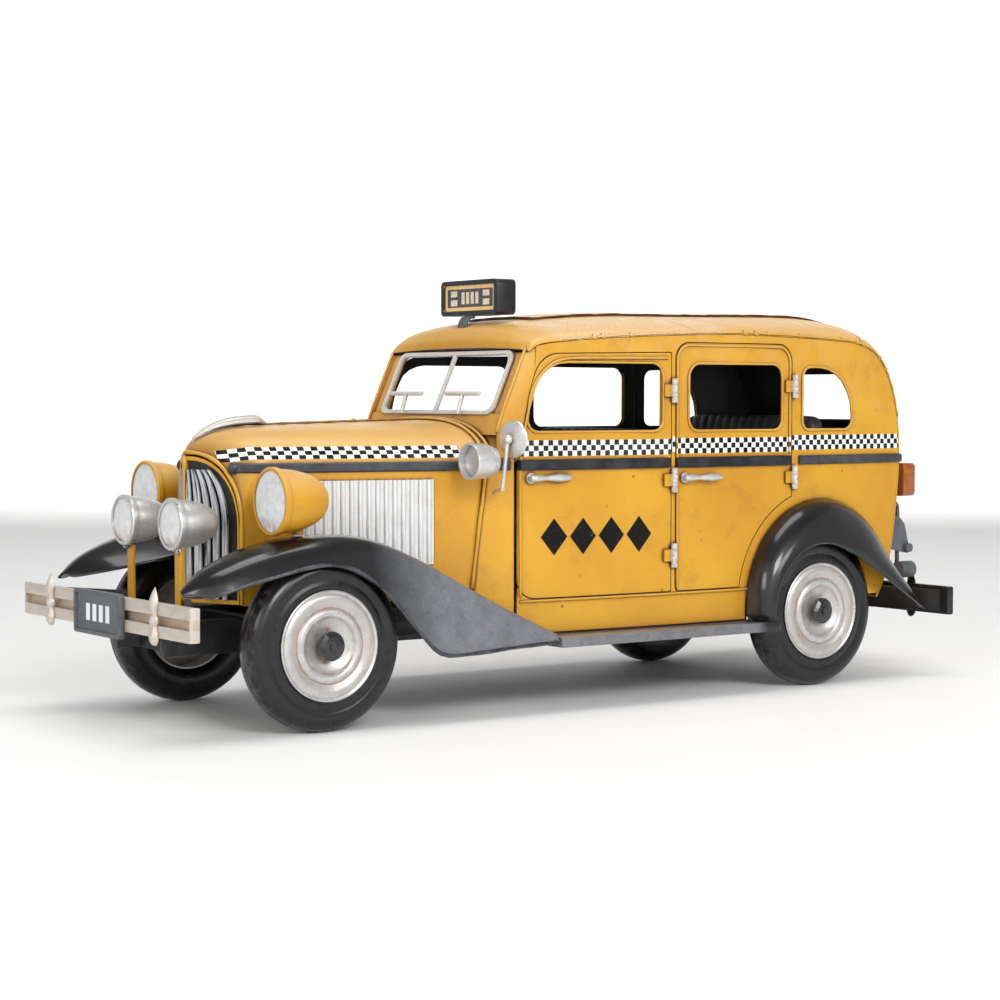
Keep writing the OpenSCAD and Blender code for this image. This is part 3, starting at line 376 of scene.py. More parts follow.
class Graph:
    """A node material being put together. colour is what has been painted so far."""

    def __init__(self, name, roughness=0.5, metallic=0.0, coat=0.0, specular=0.5):
        self.material = bpy.data.materials.new(name)
        self.material.use_nodes = True
        self.tree = self.material.node_tree
        self.colour = None
        self.look("Roughness", roughness)
        self.look("Metallic", metallic)
        self.look("Coat Weight", coat)
        self.look("Coat Roughness", 0.12)
        self.look("Specular IOR Level", specular)
        coordinates = self.tree.nodes.new("ShaderNodeTexCoord")
        self.place = coordinates.outputs["Object"]
        apart = self.node("ShaderNodeSeparateXYZ", Vector=self.place)
        self.x, self.y, self.z = (self.math("DIVIDE", part, MM) for part in apart.outputs)
        facing = self.node("ShaderNodeSeparateXYZ", Vector=coordinates.outputs["Normal"])
        self.nx, self.ny, self.nz = (Value(self, part) for part in facing.outputs)

    def put(self, socket, value):
        """Give a socket a number, or link a value into it."""
        if isinstance(value, Value):
            value = value.socket
        if isinstance(value, bpy.types.NodeSocket):
            self.tree.links.new(value, socket)
        else:
            socket.default_value = value

    def look(self, name, value):
        self.put(self.tree.nodes["Principled BSDF"].inputs[name], value)

    def node(self, kind, settings=None, **inputs):
        made = self.tree.nodes.new(kind)
        for key, value in (settings or {}).items():
            setattr(made, key, value)
        for key, value in inputs.items():
            self.put(made.inputs[key.replace("_", " ")], value)
        return made

    def math(self, operation, a, b=0.0):
        made = self.node("ShaderNodeMath", {"operation": operation})
        self.put(made.inputs[0], a)
        self.put(made.inputs[1], b)
        return Value(self, made.outputs[0])

    def most(self, first, *others):
        for other in others:
            first = self.math("MAXIMUM", first, other)
        return first

    def ramp(self, value, low, high, out_low=0.0, out_high=1.0):
        """A straight ramp of value from low to high, held at its ends."""
        made = self.node("ShaderNodeMapRange", {"clamp": True}, Value=value, From_Min=low, From_Max=high,
                         To_Min=out_low, To_Max=out_high)
        return Value(self, made.outputs["Result"])

    def band(self, value, low, high, soft=0.05):
        """1 where value lies between low and high, with edges soft wide."""
        return self.ramp(value, low - soft, low + soft) * self.ramp(value, high + soft, high - soft)

    def noise(self, size, detail=4.0, roughness=0.55, stretch=(1, 1, 1), offset=0.0):
        """Noise whose features are about size millimetres across."""
        mapped = self.node("ShaderNodeMapping", Vector=self.place, Scale=stretch, Location=[offset] * 3)
        made = self.node("ShaderNodeTexNoise", Vector=mapped.outputs[0], Scale=1 / (size * MM),
                         Detail=detail, Roughness=roughness)
        return Value(self, made.outputs["Fac"])

    def specks(self, size, radius, share=0.5):
        """Scattered dots: cells of size millimetres, of which a share holds a dot."""
        made = self.node("ShaderNodeTexVoronoi", Vector=self.place, Scale=1 / (size * MM), Randomness=1.0)
        dot = self.ramp(made.outputs["Distance"], radius * 1.4, radius * 0.6)
        pick = self.node("ShaderNodeSeparateColor", Color=made.outputs["Color"]).outputs[0]
        return dot * self.ramp(pick, 1 - share, 1 - share + 0.02)

    def blend(self, factor, a, b):
        made = self.node("ShaderNodeMix", {"data_type": "RGBA"})
        for socket, value in zip((made.inputs[0], made.inputs[6], made.inputs[7]), (factor, a, b)):
            self.put(socket, value)
        return made.outputs[2]

    def paint(self, mask, paint):
        """Lay a paint over the colour where mask is 1."""
        self.colour = self.blend(mask, self.colour, paint)

    def mottle(self, noise, first, second, low=0.35, high=0.7):
        """Begin with one colour that turns into a second along a noise."""
        self.colour = self.blend(self.ramp(noise, low, high), first, second)

    def corner(self, distance):
        """0 in the open, towards 1 in creases narrower than distance millimetres."""
        made = self.node("ShaderNodeAmbientOcclusion", {"samples": 6}, Distance=distance * MM)
        return 1.0 - Value(self, made.outputs["AO"])

    def distance(self, a, b):
        """The length of a line a across and b up."""
        return self.math("SQRT", a * a + b * b)

    def finish(self, roughness=None, height=None, depth=0.1, metallic=None):
        """The material, with its bumps depth millimetres deep."""
        for name, value in (("Base Color", self.colour), ("Roughness", roughness), ("Metallic", metallic)):
            if value is not None:
                self.look(name, value)
        if height is not None:
            bump = self.node("ShaderNodeBump", Height=height, Strength=1.0, Distance=depth * MM)
            self.look("Normal", bump.outputs[0])
        return self.material


BELT_LOW, BELT_HIGH = 97.0, 100.7
CHEQUER_ROW, CHEQUER_COLUMN = 2.15, 2.3
HOOD_LOW, HOOD_ROW, HOOD_COLUMN = 102.1, 1.58, 2.75
HOOD_CHEQUER_BACK, HOOD_CHEQUER_FRONT = 57.5, 151.4
LOZENGE_X, LOZENGE_Z, LOZENGE_PITCH, LOZENGE_COUNT = -3.1, 69.5, 14.0, 4
LOZENGE_HALF_WIDTH, LOZENGE_HALF_HEIGHT = 6.4, 7.6
BARREL_BEHIND, BARREL_AHEAD, BARREL_HALF_HEIGHT = 1.7, 1.5, 5.2
CABIN_MIDDLE_Z = 95.0
NOSE_X, NOSE_HALF, NOSE_REACH = 157.0, 25.6, 10.5
NOSE_SHOULDER, NOSE_RISE, NOSE_FOOT = 78.0, 27.0, 46.8


def outside_mask(g, centre_x=None):
    """1 on faces that look away from the middle of the cabin, 0 on those that look into it."""
    up = (g.z - CABIN_MIDDLE_Z) * g.nz
    out = g.y * g.ny + up
    if centre_x is not None:
        out = out + (g.x - centre_x) * g.nx
        return g.ramp(out, -1.0, 1.0)
    edge = g.ramp(abs(g.nx), 0.8, 0.9)
    return g.most(g.ramp(out, -1.0, 1.0), edge)


def chequer_layer(g, low, row, column, rise=None):
    """Three rows of black and white squares painted along the side."""
    height = g.z if rise is None else g.z - rise
    rows = g.math("FLOOR", (height - low) / row)
    columns = g.math("FLOOR", g.x / column)
    odd = (rows + columns) % 2.0
    fade = g.ramp(g.noise(9, 2), 0.4, 0.8, 0.0, 0.16)
    dark = g.blend(fade, CLEAR_BLACK, srgb(120, 118, 112))
    tile = g.blend(odd, dark, WHITE_PAINT)
    mask = g.band(height, low, low + 3 * row, 0.04)
    chips = g.ramp(g.noise(1.6, 3), 0.72, 0.76, 1.0, 0.0)
    return mask * chips, tile


def lozenge_layer(g):
    """A row of plain black lozenges: a generic mark in place of lettering."""
    inside = g.x - (LOZENGE_X - LOZENGE_PITCH * LOZENGE_COUNT / 2)
    sideways = abs(inside % LOZENGE_PITCH - LOZENGE_PITCH / 2) / LOZENGE_HALF_WIDTH
    upward = abs(g.z - LOZENGE_Z) / LOZENGE_HALF_HEIGHT
    shape = g.ramp(sideways + upward, 1.02, 0.98)
    return shape * g.band(inside, 0.0, LOZENGE_PITCH * LOZENGE_COUNT, 0.05)


def aged_ochre(name, chequer=None, belt=False, lozenges=False, hood=False, roof=False, knuckles=(),
               inside=True, centre_x=None, front_only=False):
    """Hand-painted ochre enamel: brown wash in the creases, painted shade in wider hollows, a painted sheen
    on upward faces.
    """
    g = Graph(name, coat=0.15)
    broad = g.noise(45, 3, 0.5)
    middle = g.noise(9, 4, 0.6)
    fine = g.noise(1.1, 4, 0.6)
    g.mottle(broad, OCHRE_DEEP, OCHRE, 0.38, 0.66)
    g.paint(g.ramp(g.z, 92, 150) * g.ramp(middle, 0.32, 0.68) * 0.55, OCHRE_PALE)
    g.paint(g.ramp(fine, 0.5, 0.8, 0.0, 0.16), SOFT_GRIME_AND_SHADE)
    outward = outside_mask(g, centre_x)
    g.paint(g.ramp(g.noise(19, 5, 0.7, offset=0.3), 0.56, 0.7, 0.0, 0.3), SOFT_GRIME_AND_SHADE)
    # painted sheen: faces that look up turn beige, a painted reflection of the light from above
    g.paint(g.ramp(g.nz, 0.1, 0.75) * 0.5, SHEEN)
    # painted shade: on the hood, faces that look forward are darkened brown
    if hood:
        g.paint(g.ramp(g.nx, 0.35, 0.85) * 0.5, srgb(120, 84, 40))
    sidelong = g.ramp(abs(g.ny), 0.45, 0.6)
    if roof:  # a worn patch over the windows and one seam
        edge = g.z + (middle - 0.5) * 5.0
        patch = g.band(g.x, -70, 18, 4) * g.ramp(edge, 160.0, 158.6) * g.ramp(edge, 148.0, 150.5)
        speckle = g.blend(g.ramp(g.noise(0.7, 3, 0.7), 0.4, 0.62), WORN, srgb(206, 160, 92))
        g.paint(patch * 0.95, speckle)
        seam = g.band(g.x + (g.z - 152.0) * -1.1, -56.0, -55.5, 0.2)
        g.paint(seam * g.ramp(g.z, 153, 156), GRIME)
    grime = g.ramp(g.corner(1.8), 0.1, 0.45) * g.ramp(middle, 0.25, 0.55, 0.5, 1.0)
    # painted shade: a soft brown darkening in the wider hollows and corners
    g.paint(g.ramp(g.corner(7.0), 0.12, 0.65) * 0.7, SOFT_GRIME_AND_SHADE)
    g.paint(g.specks(7, 0.09, 0.22) * g.ramp(broad, 0.4, 0.6) * 0.85, RUST)
    marks = 0.0
    if chequer is not None:
        mask, tile = chequer_layer(g, chequer, CHEQUER_ROW, CHEQUER_COLUMN)
        marks = mask * sidelong * outward
        g.paint(marks, tile)
    if hood:
        rise = g.ramp(g.x, 142, 151, 0.0, -1.4)
        mask, tile = chequer_layer(g, HOOD_LOW, HOOD_ROW, HOOD_COLUMN, rise)
        marks = mask * g.band(g.x, HOOD_CHEQUER_BACK, HOOD_CHEQUER_FRONT, 0.05) * outward
        g.paint(marks, tile)
    if lozenges:
        marks = lozenge_layer(g) * sidelong * outward
        wear = g.ramp(g.noise(0.9, 3), 0.66, 0.74, 1.0, 0.6)
        g.paint(marks * wear, srgb(22, 21, 22))
    g.paint(grime, GRIME)
    if belt:
        strip = g.band(g.z, BELT_LOW - 0.3, BELT_HIGH + 0.3, 0.1) * outward
        black = g.blend(g.ramp(middle, 0.4, 0.75, 0.0, 0.5), CLEAR_BLACK, srgb(74, 76, 80))
        g.paint(strip, black)
    barrels = [g.band(g.x, hinge_x - BARREL_BEHIND, hinge_x + BARREL_AHEAD, 0.1)
               * g.band(g.z, height - BARREL_HALF_HEIGHT, height + BARREL_HALF_HEIGHT, 0.1)
               * g.ramp(abs(g.y), skin_y(hinge_x) + 0.25, skin_y(hinge_x) + 0.4)
               for hinge_x, heights in knuckles for height in heights]
    if barrels:
        g.paint(g.most(*barrels), g.blend(g.ramp(fine, 0.4, 0.7), SILVER, srgb(150, 140, 128)))
    if inside:
        g.colour = g.blend(outward, INTERIOR, g.colour)
    if front_only:
        g.colour = g.blend(g.ramp(g.nx, -0.6, -0.4), INTERIOR, g.colour)
    g.look("Specular IOR Level", g.ramp(marks, 0.0, 1.0, 0.4, 0.1))
    g.look("Coat Weight", g.ramp(marks, 0.0, 1.0, 0.12, 0.0))
    roughness = g.ramp(middle, 0.3, 0.7, 0.3, 0.52)
    height = middle + fine * 0.25
    return g.finish(roughness, height, 0.22)


def fender_paint(name):
    """Glossy black domes, flat tails and boards grey with dust and painted light, painted shade in the
    creases, rust at the lower edges.
    """
    g = Graph(name, coat=0.7, specular=0.25)
    middle = g.noise(7, 5, 0.62)
    fine = g.noise(0.8, 4, 0.65)
    flat = g.ramp(g.x, 112, 78) * g.ramp(g.ramp(g.x, -78, -84), 0.0, 1.0, 1.0, 0.0)
    # the flat tails and boards go grey: partly dust, partly painted light on their broad faces
    dust_and_light = flat * g.ramp(middle, 0.25, 0.7, 0.55, 1.0)
    g.colour = g.blend(dust_and_light, CLEAR_BLACK, DUST_AND_LIGHT_GREY)
    g.paint(g.ramp(fine, 0.45, 0.75) * flat * 0.35, srgb(142, 144, 148))
    # painted shade: near black in the creases
    g.paint(g.ramp(g.corner(2.0), 0.2, 0.7, 0.0, 0.8), srgb(16, 15, 15))
    rust = g.ramp(g.noise(3, 4, 0.7), 0.62, 0.74) * g.ramp(g.z, 44, 28, 0.0, 0.8)
    g.paint(rust, RUST)
    roughness = g.ramp(middle, 0.2, 0.8, 0.26, 0.4) + flat * 0.2
    height = middle + fine * flat * 1.2
    return g.finish(roughness, height, 0.16)


def plain_paint(name, base, shade, gloss, size=6.0, darker_tint=GRIME, crease_amount=0.5, coat=0.0):
    """Enamel with soft variation and a darker tint in its creases: brown grime and rust on some parts,
    painted shade where the tint is near black.
    """
    g = Graph(name, coat=coat)
    middle = g.noise(size, 5, 0.6)
    fine = g.noise(size / 9, 4, 0.65)
    g.mottle(middle, base, shade)
    # darker tint in the creases; where the tint is near black it is painted shade
    g.paint(g.ramp(g.corner(1.6), 0.15, 0.6) * crease_amount, darker_tint)
    roughness = g.ramp(fine, 0.3, 0.7, gloss - 0.07, gloss + 0.1)
    return g.finish(roughness, middle + fine * 0.4, 0.1)


def silver_tin(name, base, gloss=0.42, metallic=0.55, crease_amount=0.75, scratch=(1, 1, 0.12), recess=None,
               stain=0.3, black_inside=False):
    """Silvered tin: scratches, beige grime in the creases and rust specks."""
    g = Graph(name)
    lines = g.noise(1.3, 4, 0.6, stretch=scratch)
    middle = g.noise(5, 4, 0.6)
    g.colour = g.blend(g.ramp(lines, 0.4, 0.75, 0.0, 0.5), base, srgb(176, 174, 170))
    g.paint(g.ramp(middle, 0.58, 0.8, 0.0, stain), srgb(176, 158, 136))
    grime = g.ramp(g.corner(1.8), 0.1, 0.5) * g.ramp(middle, 0.25, 0.55, 0.5, 1.0) * crease_amount
    g.paint(grime, srgb(128, 98, 70))
    g.paint(g.specks(5, 0.08, 0.2) * 0.9, RUST)
    if recess is not None:
        low, high, depth_x = recess
        inside = g.band(g.z, low, high, 0.3) * g.ramp(abs(g.x), depth_x + 0.5, depth_x + 0.2)
        g.paint(inside * g.ramp(middle, 0.3, 0.6, 0.5, 1.0), srgb(190, 168, 140))
    if black_inside:
        inner = g.ramp(g.x, 0.0, -1.0) * g.ramp(g.nx, -0.5, -0.3)
        g.paint(inner, srgb(24, 23, 24))
        metallic = g.ramp(inner, 0.0, 1.0, metallic, 0.0)
    roughness = g.ramp(lines, 0.3, 0.7, gloss - 0.06, gloss + 0.08)
    return g.finish(roughness, lines + middle, 0.05, metallic)


def tyre_rubber(name, axle):
    """Glossy painted rubber with ring creases and dust in the grooves."""
    g = Graph(name, coat=0.2, specular=0.4)
    radius = g.distance(g.x - axle.x, g.z - axle.z)
    middle = g.noise(8, 5, 0.6)
    g.mottle(middle, srgb(10, 11, 13), srgb(20, 22, 26), 0.4, 0.7)
    tread = g.ramp(radius, 30.5, 32.6) * g.ramp(g.noise(2.5, 4, 0.7), 0.45, 0.7)
    g.paint(tread * 0.5, srgb(104, 94, 90))
    rings = g.math("SINE", radius * 5.2)
    height = rings * 0.08 + middle
    return g.finish(g.ramp(middle, 0.3, 0.7, 0.24, 0.38), height, 0.12)


def disc_silver(name, axle):
    """Aged silver paint with thin rust rings in the grooves of the pressed disc."""
    g = Graph(name, metallic=0.6)
    radius = g.distance(g.x - axle.x, g.z - axle.z)
    middle = g.noise(4, 4, 0.6)
    fine = g.noise(0.6, 3, 0.6)
    wobble = radius + (g.noise(3, 3) - 0.5) * 0.7
    g.mottle(middle, srgb(202, 200, 198), srgb(178, 175, 172))
    g.paint(g.band(wobble, 14.9, 18.4, 0.6) * 0.35, srgb(176, 168, 160))
    outer = g.band(wobble, 14.25, 14.6, 0.2) * g.ramp(g.noise(6, 2), 0.3, 0.55)
    inner = g.band(wobble, 10.55, 10.8, 0.16) * g.ramp(g.noise(7, 2, offset=0.4), 0.5, 0.6)
    hub = g.band(wobble, 5.0, 6.8, 0.6) * g.ramp(middle, 0.5, 0.7)
    g.paint(g.most(outer, inner, hub) * 0.85, srgb(168, 100, 48))
    g.paint(g.ramp(g.corner(2.0), 0.2, 0.8) * 0.5, srgb(120, 104, 88))
    return g.finish(g.ramp(middle, 0.3, 0.7, 0.26, 0.4), middle + fine, 0.06)


def sign_face(name, low, high):
    """The roof sign: black case, cream frame and light blocks on a dark panel, with no lettering."""
    g = Graph(name, coat=0.3)
    middle_z = (low.z + high.z) / 2
    across = abs(g.y)
    upward = abs(g.z - middle_z)
    front = g.ramp(g.nx, 0.5, 0.7)
    half_y, half_z = high.y - 2.4, (high.z - low.z) / 2 - 2.0
    frame_mask = g.ramp(across, half_y, half_y - 0.2) * g.ramp(upward, half_z, half_z - 0.2)
    panel = g.ramp(across, half_y - 1.5, half_y - 1.7) * g.ramp(upward, half_z - 1.5, half_z - 1.7)
    wide = g.ramp(across, 6.8, 6.6) * g.ramp(upward, 2.6, 2.4) * g.ramp(abs(g.y % 3.4 - 1.7), 1.2, 1.1)
    small = g.band(across, 9.4, 14.2, 0.1) * g.ramp(upward, 3.2, 3.0) * g.ramp(upward, 0.5, 0.7)
    worn = g.ramp(g.noise(0.8, 3), 0.3, 0.6, 0.55, 1.0)
    g.colour = g.blend(front * frame_mask, CLEAR_BLACK, CREAM)
    g.paint(front * panel, srgb(66, 62, 60))
    g.paint(front * panel * g.most(wide, small) * worn, srgb(238, 226, 204))
    return g.finish(g.ramp(g.noise(5), 0.3, 0.7, 0.24, 0.4), g.noise(4), 0.12)


def plate_paint(name):
    """A dark plate whose raised border is greyer, with four light dashes instead of digits, and painted
    shade in its corners.
    """
    g = Graph(name)
    low, high = box_of("number_plate")
    middle_z = (low.z + high.z) / 2
    upward = abs(g.z - middle_z)
    middle = g.noise(3, 4, 0.6)
    g.mottle(middle, srgb(78, 80, 84), srgb(98, 100, 104))
    local = abs(g.y % 5.6 - 2.8)
    dashes = g.ramp(local, 1.75, 1.65) * g.ramp(upward, 3.3, 3.2) * g.ramp(abs(g.y), 11.2, 11.1)
    dashes = dashes * g.ramp(g.nx, 0.5, 0.7)
    g.paint(dashes, srgb(236, 237, 240))
    # painted shade: near black in the corners
    g.paint(g.ramp(g.corner(1.6), 0.15, 0.6) * 0.6, srgb(30, 29, 28))
    return g.finish(g.ramp(middle, 0.3, 0.7, 0.4, 0.55), middle, 0.1)


def lens_paint(name, centres):
    """Light silver lenses with faint concentric rings and grime at the bottom."""
    g = Graph(name, metallic=0.2)
    middle = g.noise(3, 4, 0.6)
    g.mottle(middle, srgb(240, 240, 240), srgb(214, 215, 218), 0.3, 0.7)
    rings = []
    for centre, size in centres:
        dz = g.z - centre.z
        radius = g.distance(abs(g.y) - centre.y, dz)
        here = g.ramp(radius, size + 0.5, size)
        rings.append(g.math("SINE", radius * 1.9) * here)
        darker_tint = here * g.ramp(dz, -size * 0.45, -size) * g.ramp(middle, 0.3, 0.6)
        g.paint(darker_tint * 0.7, srgb(150, 104, 74))
    return g.finish(g.ramp(middle, 0.3, 0.7, 0.3, 0.45), (rings[0] + rings[1]) * 0.25 + middle, 0.1)


def seat_cloth(name):
    """Dark grey leathercloth with a fine grain, and painted shade in its corners."""
    g = Graph(name)
    grain = g.noise(0.5, 3, 0.7)
    middle = g.noise(6, 4, 0.6)
    g.mottle(middle, srgb(44, 45, 48), srgb(62, 64, 68))
    # painted shade: near black in the corners and pleats
    g.paint(g.ramp(g.corner(3.0), 0.2, 0.8, 0.0, 0.8), srgb(18, 18, 18))
    return g.finish(g.ramp(grain, 0.3, 0.7, 0.42, 0.58), grain, 0.05)


def steel_grey(name):
    """Brushed steel."""
    g = Graph(name, metallic=0.85)
    lines = g.noise(0.7, 4, 0.7, stretch=(0.15, 1, 1))
    g.mottle(lines, srgb(150, 152, 156), srgb(104, 106, 110))
    return g.finish(g.ramp(lines, 0.3, 0.7, 0.3, 0.5), lines, 0.05)


def grille_paint(name):
    """Streaky silver bars on a near-black backing that stands in for the shade between them. The streaks run
    with the bars and meet at the top.
    """
    g = Graph(name, metallic=0.5)
    out = g.x - (NOSE_X - abs(g.y) * (NOSE_REACH / NOSE_HALF))
    rise = g.math("MAXIMUM", (g.z - 77.0) / 27.2, 0.0)
    arch = g.math("MAXIMUM", 1.0 - rise * rise, 0.01) ** 0.425
    share = abs(g.y) / (arch * 24.4)
    where = g.node("ShaderNodeCombineXYZ", X=share * 26.0, Y=g.z * 0.035, Z=0.0)
    streaks = g.node("ShaderNodeTexNoise", Vector=where.outputs[0], Scale=1.0, Detail=4.0, Roughness=0.65)
    streak = streaks.outputs["Fac"]
    g.mottle(streak, srgb(150, 152, 158), srgb(232, 233, 236), 0.42, 0.6)
    g.paint(g.ramp(streak, 0.41, 0.37), srgb(30, 30, 33))
    g.paint(g.ramp(g.z, 62, 47) * g.ramp(g.noise(4), 0.45, 0.7) * 0.7, srgb(140, 96, 60))
    # painted shade: the recessed backing is near black, for the shade in the gaps between the bars
    raised = g.ramp(out, 0.75, 1.0)
    g.colour = g.blend(raised, srgb(16, 16, 17), g.colour)
    return g.finish(g.ramp(streak, 0.3, 0.7, 0.5, 0.3), streak, 0.3, raised * 0.5)


FRONT_HINGES, REAR_HINGES = (60.0, 91.5, 129.0), (91.5, 131.0)
KNUCKLES = ((FRONT_HINGE_X, FRONT_HINGES), (REAR_HINGE_X, REAR_HINGES))

SIDE_PAINT = aged_ochre("ochre_sides", chequer=103.3, knuckles=KNUCKLES)
FRONT_DOOR_PAINT = aged_ochre("ochre_front_doors", chequer=102.3, belt=True, lozenges=True,
                              knuckles=KNUCKLES[:1])
REAR_DOOR_PAINT = aged_ochre("ochre_rear_doors", chequer=102.6, belt=True, knuckles=KNUCKLES[1:])
ROOF_PAINT = aged_ochre("ochre_roof", roof=True)
REAR_PAINT = aged_ochre("ochre_rear", centre_x=-140.0)
HOOD_PAINT = aged_ochre("ochre_hood", hood=True)
PLAIN_OCHRE = aged_ochre("ochre_plain", inside=False)
SCREEN_PAINT = aged_ochre("ochre_screen", inside=False, front_only=True)
FENDER_PAINT = fender_paint("fender_black")
CHASSIS_PAINT = plain_paint("chassis_black", srgb(24, 24, 25), srgb(44, 42, 41), 0.5, darker_tint=RUST,
                            crease_amount=0.3)
# the near-black crease tints of the belts, brackets, gloss black parts and rims are painted shade
BELT_PAINT = plain_paint("belt_black", srgb(42, 44, 48), srgb(66, 69, 74), 0.4, darker_tint=srgb(20, 16, 14))
BUMPER_PAINT = silver_tin("bumper_silver", srgb(206, 195, 184), 0.4, 0.35, scratch=(1, 0.12, 1),
                          recess=(43.0, 46.8, 191.8), stain=0.6, black_inside=True)
TIN = silver_tin("bright_tin", srgb(216, 216, 216), 0.34, 0.7, scratch=(0.5, 1, 1))
SCREEN_TIN = silver_tin("screen_tin", srgb(222, 217, 212), 0.36, 0.3, scratch=(0.5, 1, 1), crease_amount=0.8,
                        stain=0.6)
LOUVRE_TIN = silver_tin("louvre_tin", srgb(226, 227, 228), 0.36, 0.5, crease_amount=0.4)
SIGN_PAINT = sign_face("sign_black", *box_of("roof_sign_box"))
PLATE_PAINT = plate_paint("plate_grey")
BRACKET_PAINT = plain_paint("bracket_grey", srgb(72, 75, 80), srgb(98, 101, 106), 0.45,
                            darker_tint=srgb(24, 20, 18))
AMBER_PAINT = plain_paint("amber_brown", srgb(164, 90, 28), srgb(116, 56, 18), 0.28, coat=0.4)
SEAT_CLOTH = seat_cloth("seat_cloth")
GLOSS_BLACK = plain_paint("gloss_black", srgb(22, 23, 25), srgb(46, 48, 52), 0.25, darker_tint=srgb(12, 11, 10),
                          coat=0.3)
STEEL = steel_grey("steel")
GRILLE_PAINT = grille_paint("grille_bars")
ORNAMENT_TIN = silver_tin("ornament_tin", srgb(206, 203, 196), 0.4, 0.5, crease_amount=1.0)
HINGE_BROWN = plain_paint("hinge_brown", srgb(190, 126, 40), srgb(120, 72, 30), 0.5, size=3, crease_amount=0.9)
EDGE_DARK = plain_paint("edge_dark", srgb(96, 62, 30), srgb(40, 30, 22), 0.5, size=3, crease_amount=0.9)
RIM_PAINT = plain_paint("rim_black", srgb(22, 23, 26), srgb(70, 72, 78), 0.22, size=9, darker_tint=srgb(14, 12, 10),
                        coat=0.3)
ROOF_SHEET_PAINT = aged_ochre("ochre_roof_sheet", inside=False)


HEADLAMP_RADIUS = 12.9


def lamp_centres():
    """Centre and lens radius of the headlamp and the fog lamp on the left."""
    high = box_of("headlamps")[1]
    fog_low, fog_high = box_of("fog_lamps")
    fog_radius = (fog_high.z - fog_low.z) / 2
    head = Vector((high.x, high.y - HEADLAMP_RADIUS, high.z - HEADLAMP_RADIUS))
    fog = Vector((fog_high.x, fog_high.y - fog_radius, fog_high.z - fog_radius))
    return (head, HEADLAMP_RADIUS - 1.4), (fog, fog_radius - 1.6)


LENS_PAINT = lens_paint("lens_silver", lamp_centres())

# bevel width and nodes of each look
CAD_LOOKS = {
    CHASSIS_PAINT: (0.25, "chassis_rails floor_pan bumper_arms"),
    FENDER_PAINT: (0.5, "running_boards"),
    SIDE_PAINT: (None, "side_panel_left side_panel_right"),
    FRONT_DOOR_PAINT: (None, "door_front_left door_front_right"),
    REAR_DOOR_PAINT: (None, "door_rear_left door_rear_right"),
    PLAIN_OCHRE: (0.2, "grille_shell fog_lamp_posts headlamps"),
    SCREEN_PAINT: (0.2, "windscreen_surround"),
    BELT_PAINT: (0.25, "belt_mouldings"),
    SCREEN_TIN: (0.2, "windscreen_frame wipers"),
    TIN: (0.2, "fog_lamps side_lamps mirrors hood_ornament"
               " handle_front_left handle_front_right handle_rear_left handle_rear_right"),
    LOUVRE_TIN: (None, "louvre_panels"),
    GRILLE_PAINT: (None, "grille_bars"),
    BUMPER_PAINT: (0.3, "front_bumper rear_bumper bumper_uprights"),
    PLATE_PAINT: (0.25, "number_plate"),
    LENS_PAINT: (0.15, "lamp_lenses"),
    SIGN_PAINT: (0.3, "roof_sign_box"),
    BRACKET_PAINT: (0.2, "roof_sign_bracket tail_brackets"),
    AMBER_PAINT: (0.6, "tail_lamps"),
    SEAT_CLOTH: (0.5, "front_seat rear_seat"),
    GLOSS_BLACK: (0.15, "front_hub_nuts rear_hub_nuts steering_wheel"),
    STEEL: (None, "hinge_pins front_axle rear_axle gearbox_frame axle_gear idler_cluster flywheel"),
}
for look, (edge, names) in CAD_LOOKS.items():
    for node in names.split():
        NODES[node].data.materials.clear()
        NODES[node].data.materials.append(look)
        soften(NODES[node], edge)

# ---- pressed shells

SHELLS = {
    FENDER_PAINT: ("front_fender_left", "front_fender_right", "rear_fender_left", "rear_fender_right"),
    ROOF_PAINT: ("roof_panel",), REAR_PAINT: ("rear_panel",), HOOD_PAINT: ("hood_shell", "cowl_panel"),
}


def fuller_brow(place):
    """The roof's brow rises more upright over the windscreen."""
    if place.x < 0 or not 146.2 < place.z < 161.5:
        return place
    push = 2.8 * sin(pi * ((place.z - 146.2) / 15.3) ** 0.8) * min(1, place.x / 18)
    return place + Vector((push, 0, 0))


for look, nodes in SHELLS.items():
    for node in nodes:
        slot_name = "fender_black" if "fender" in node else "ochre"
        smooth_copy(node, look, fuller_brow if node == "roof_panel" else None)

# the side lamps are shorter than their CAD shape
LAMP_SHORTER = 0.8
lamp_low = box_of("side_lamps")[0]
lamp_mesh = NODES["side_lamps"].data.copy()
for vertex in lamp_mesh.vertices:
    vertex.co.x = (lamp_low.x + (vertex.co.x / MM - lamp_low.x) * LAMP_SHORTER) * MM
short_lamps = placed("short_side_lamps", lamp_mesh)
soften(short_lamps, 0.2)
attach(short_lamps, "root")
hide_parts("side_lamps")

# ---- wheels

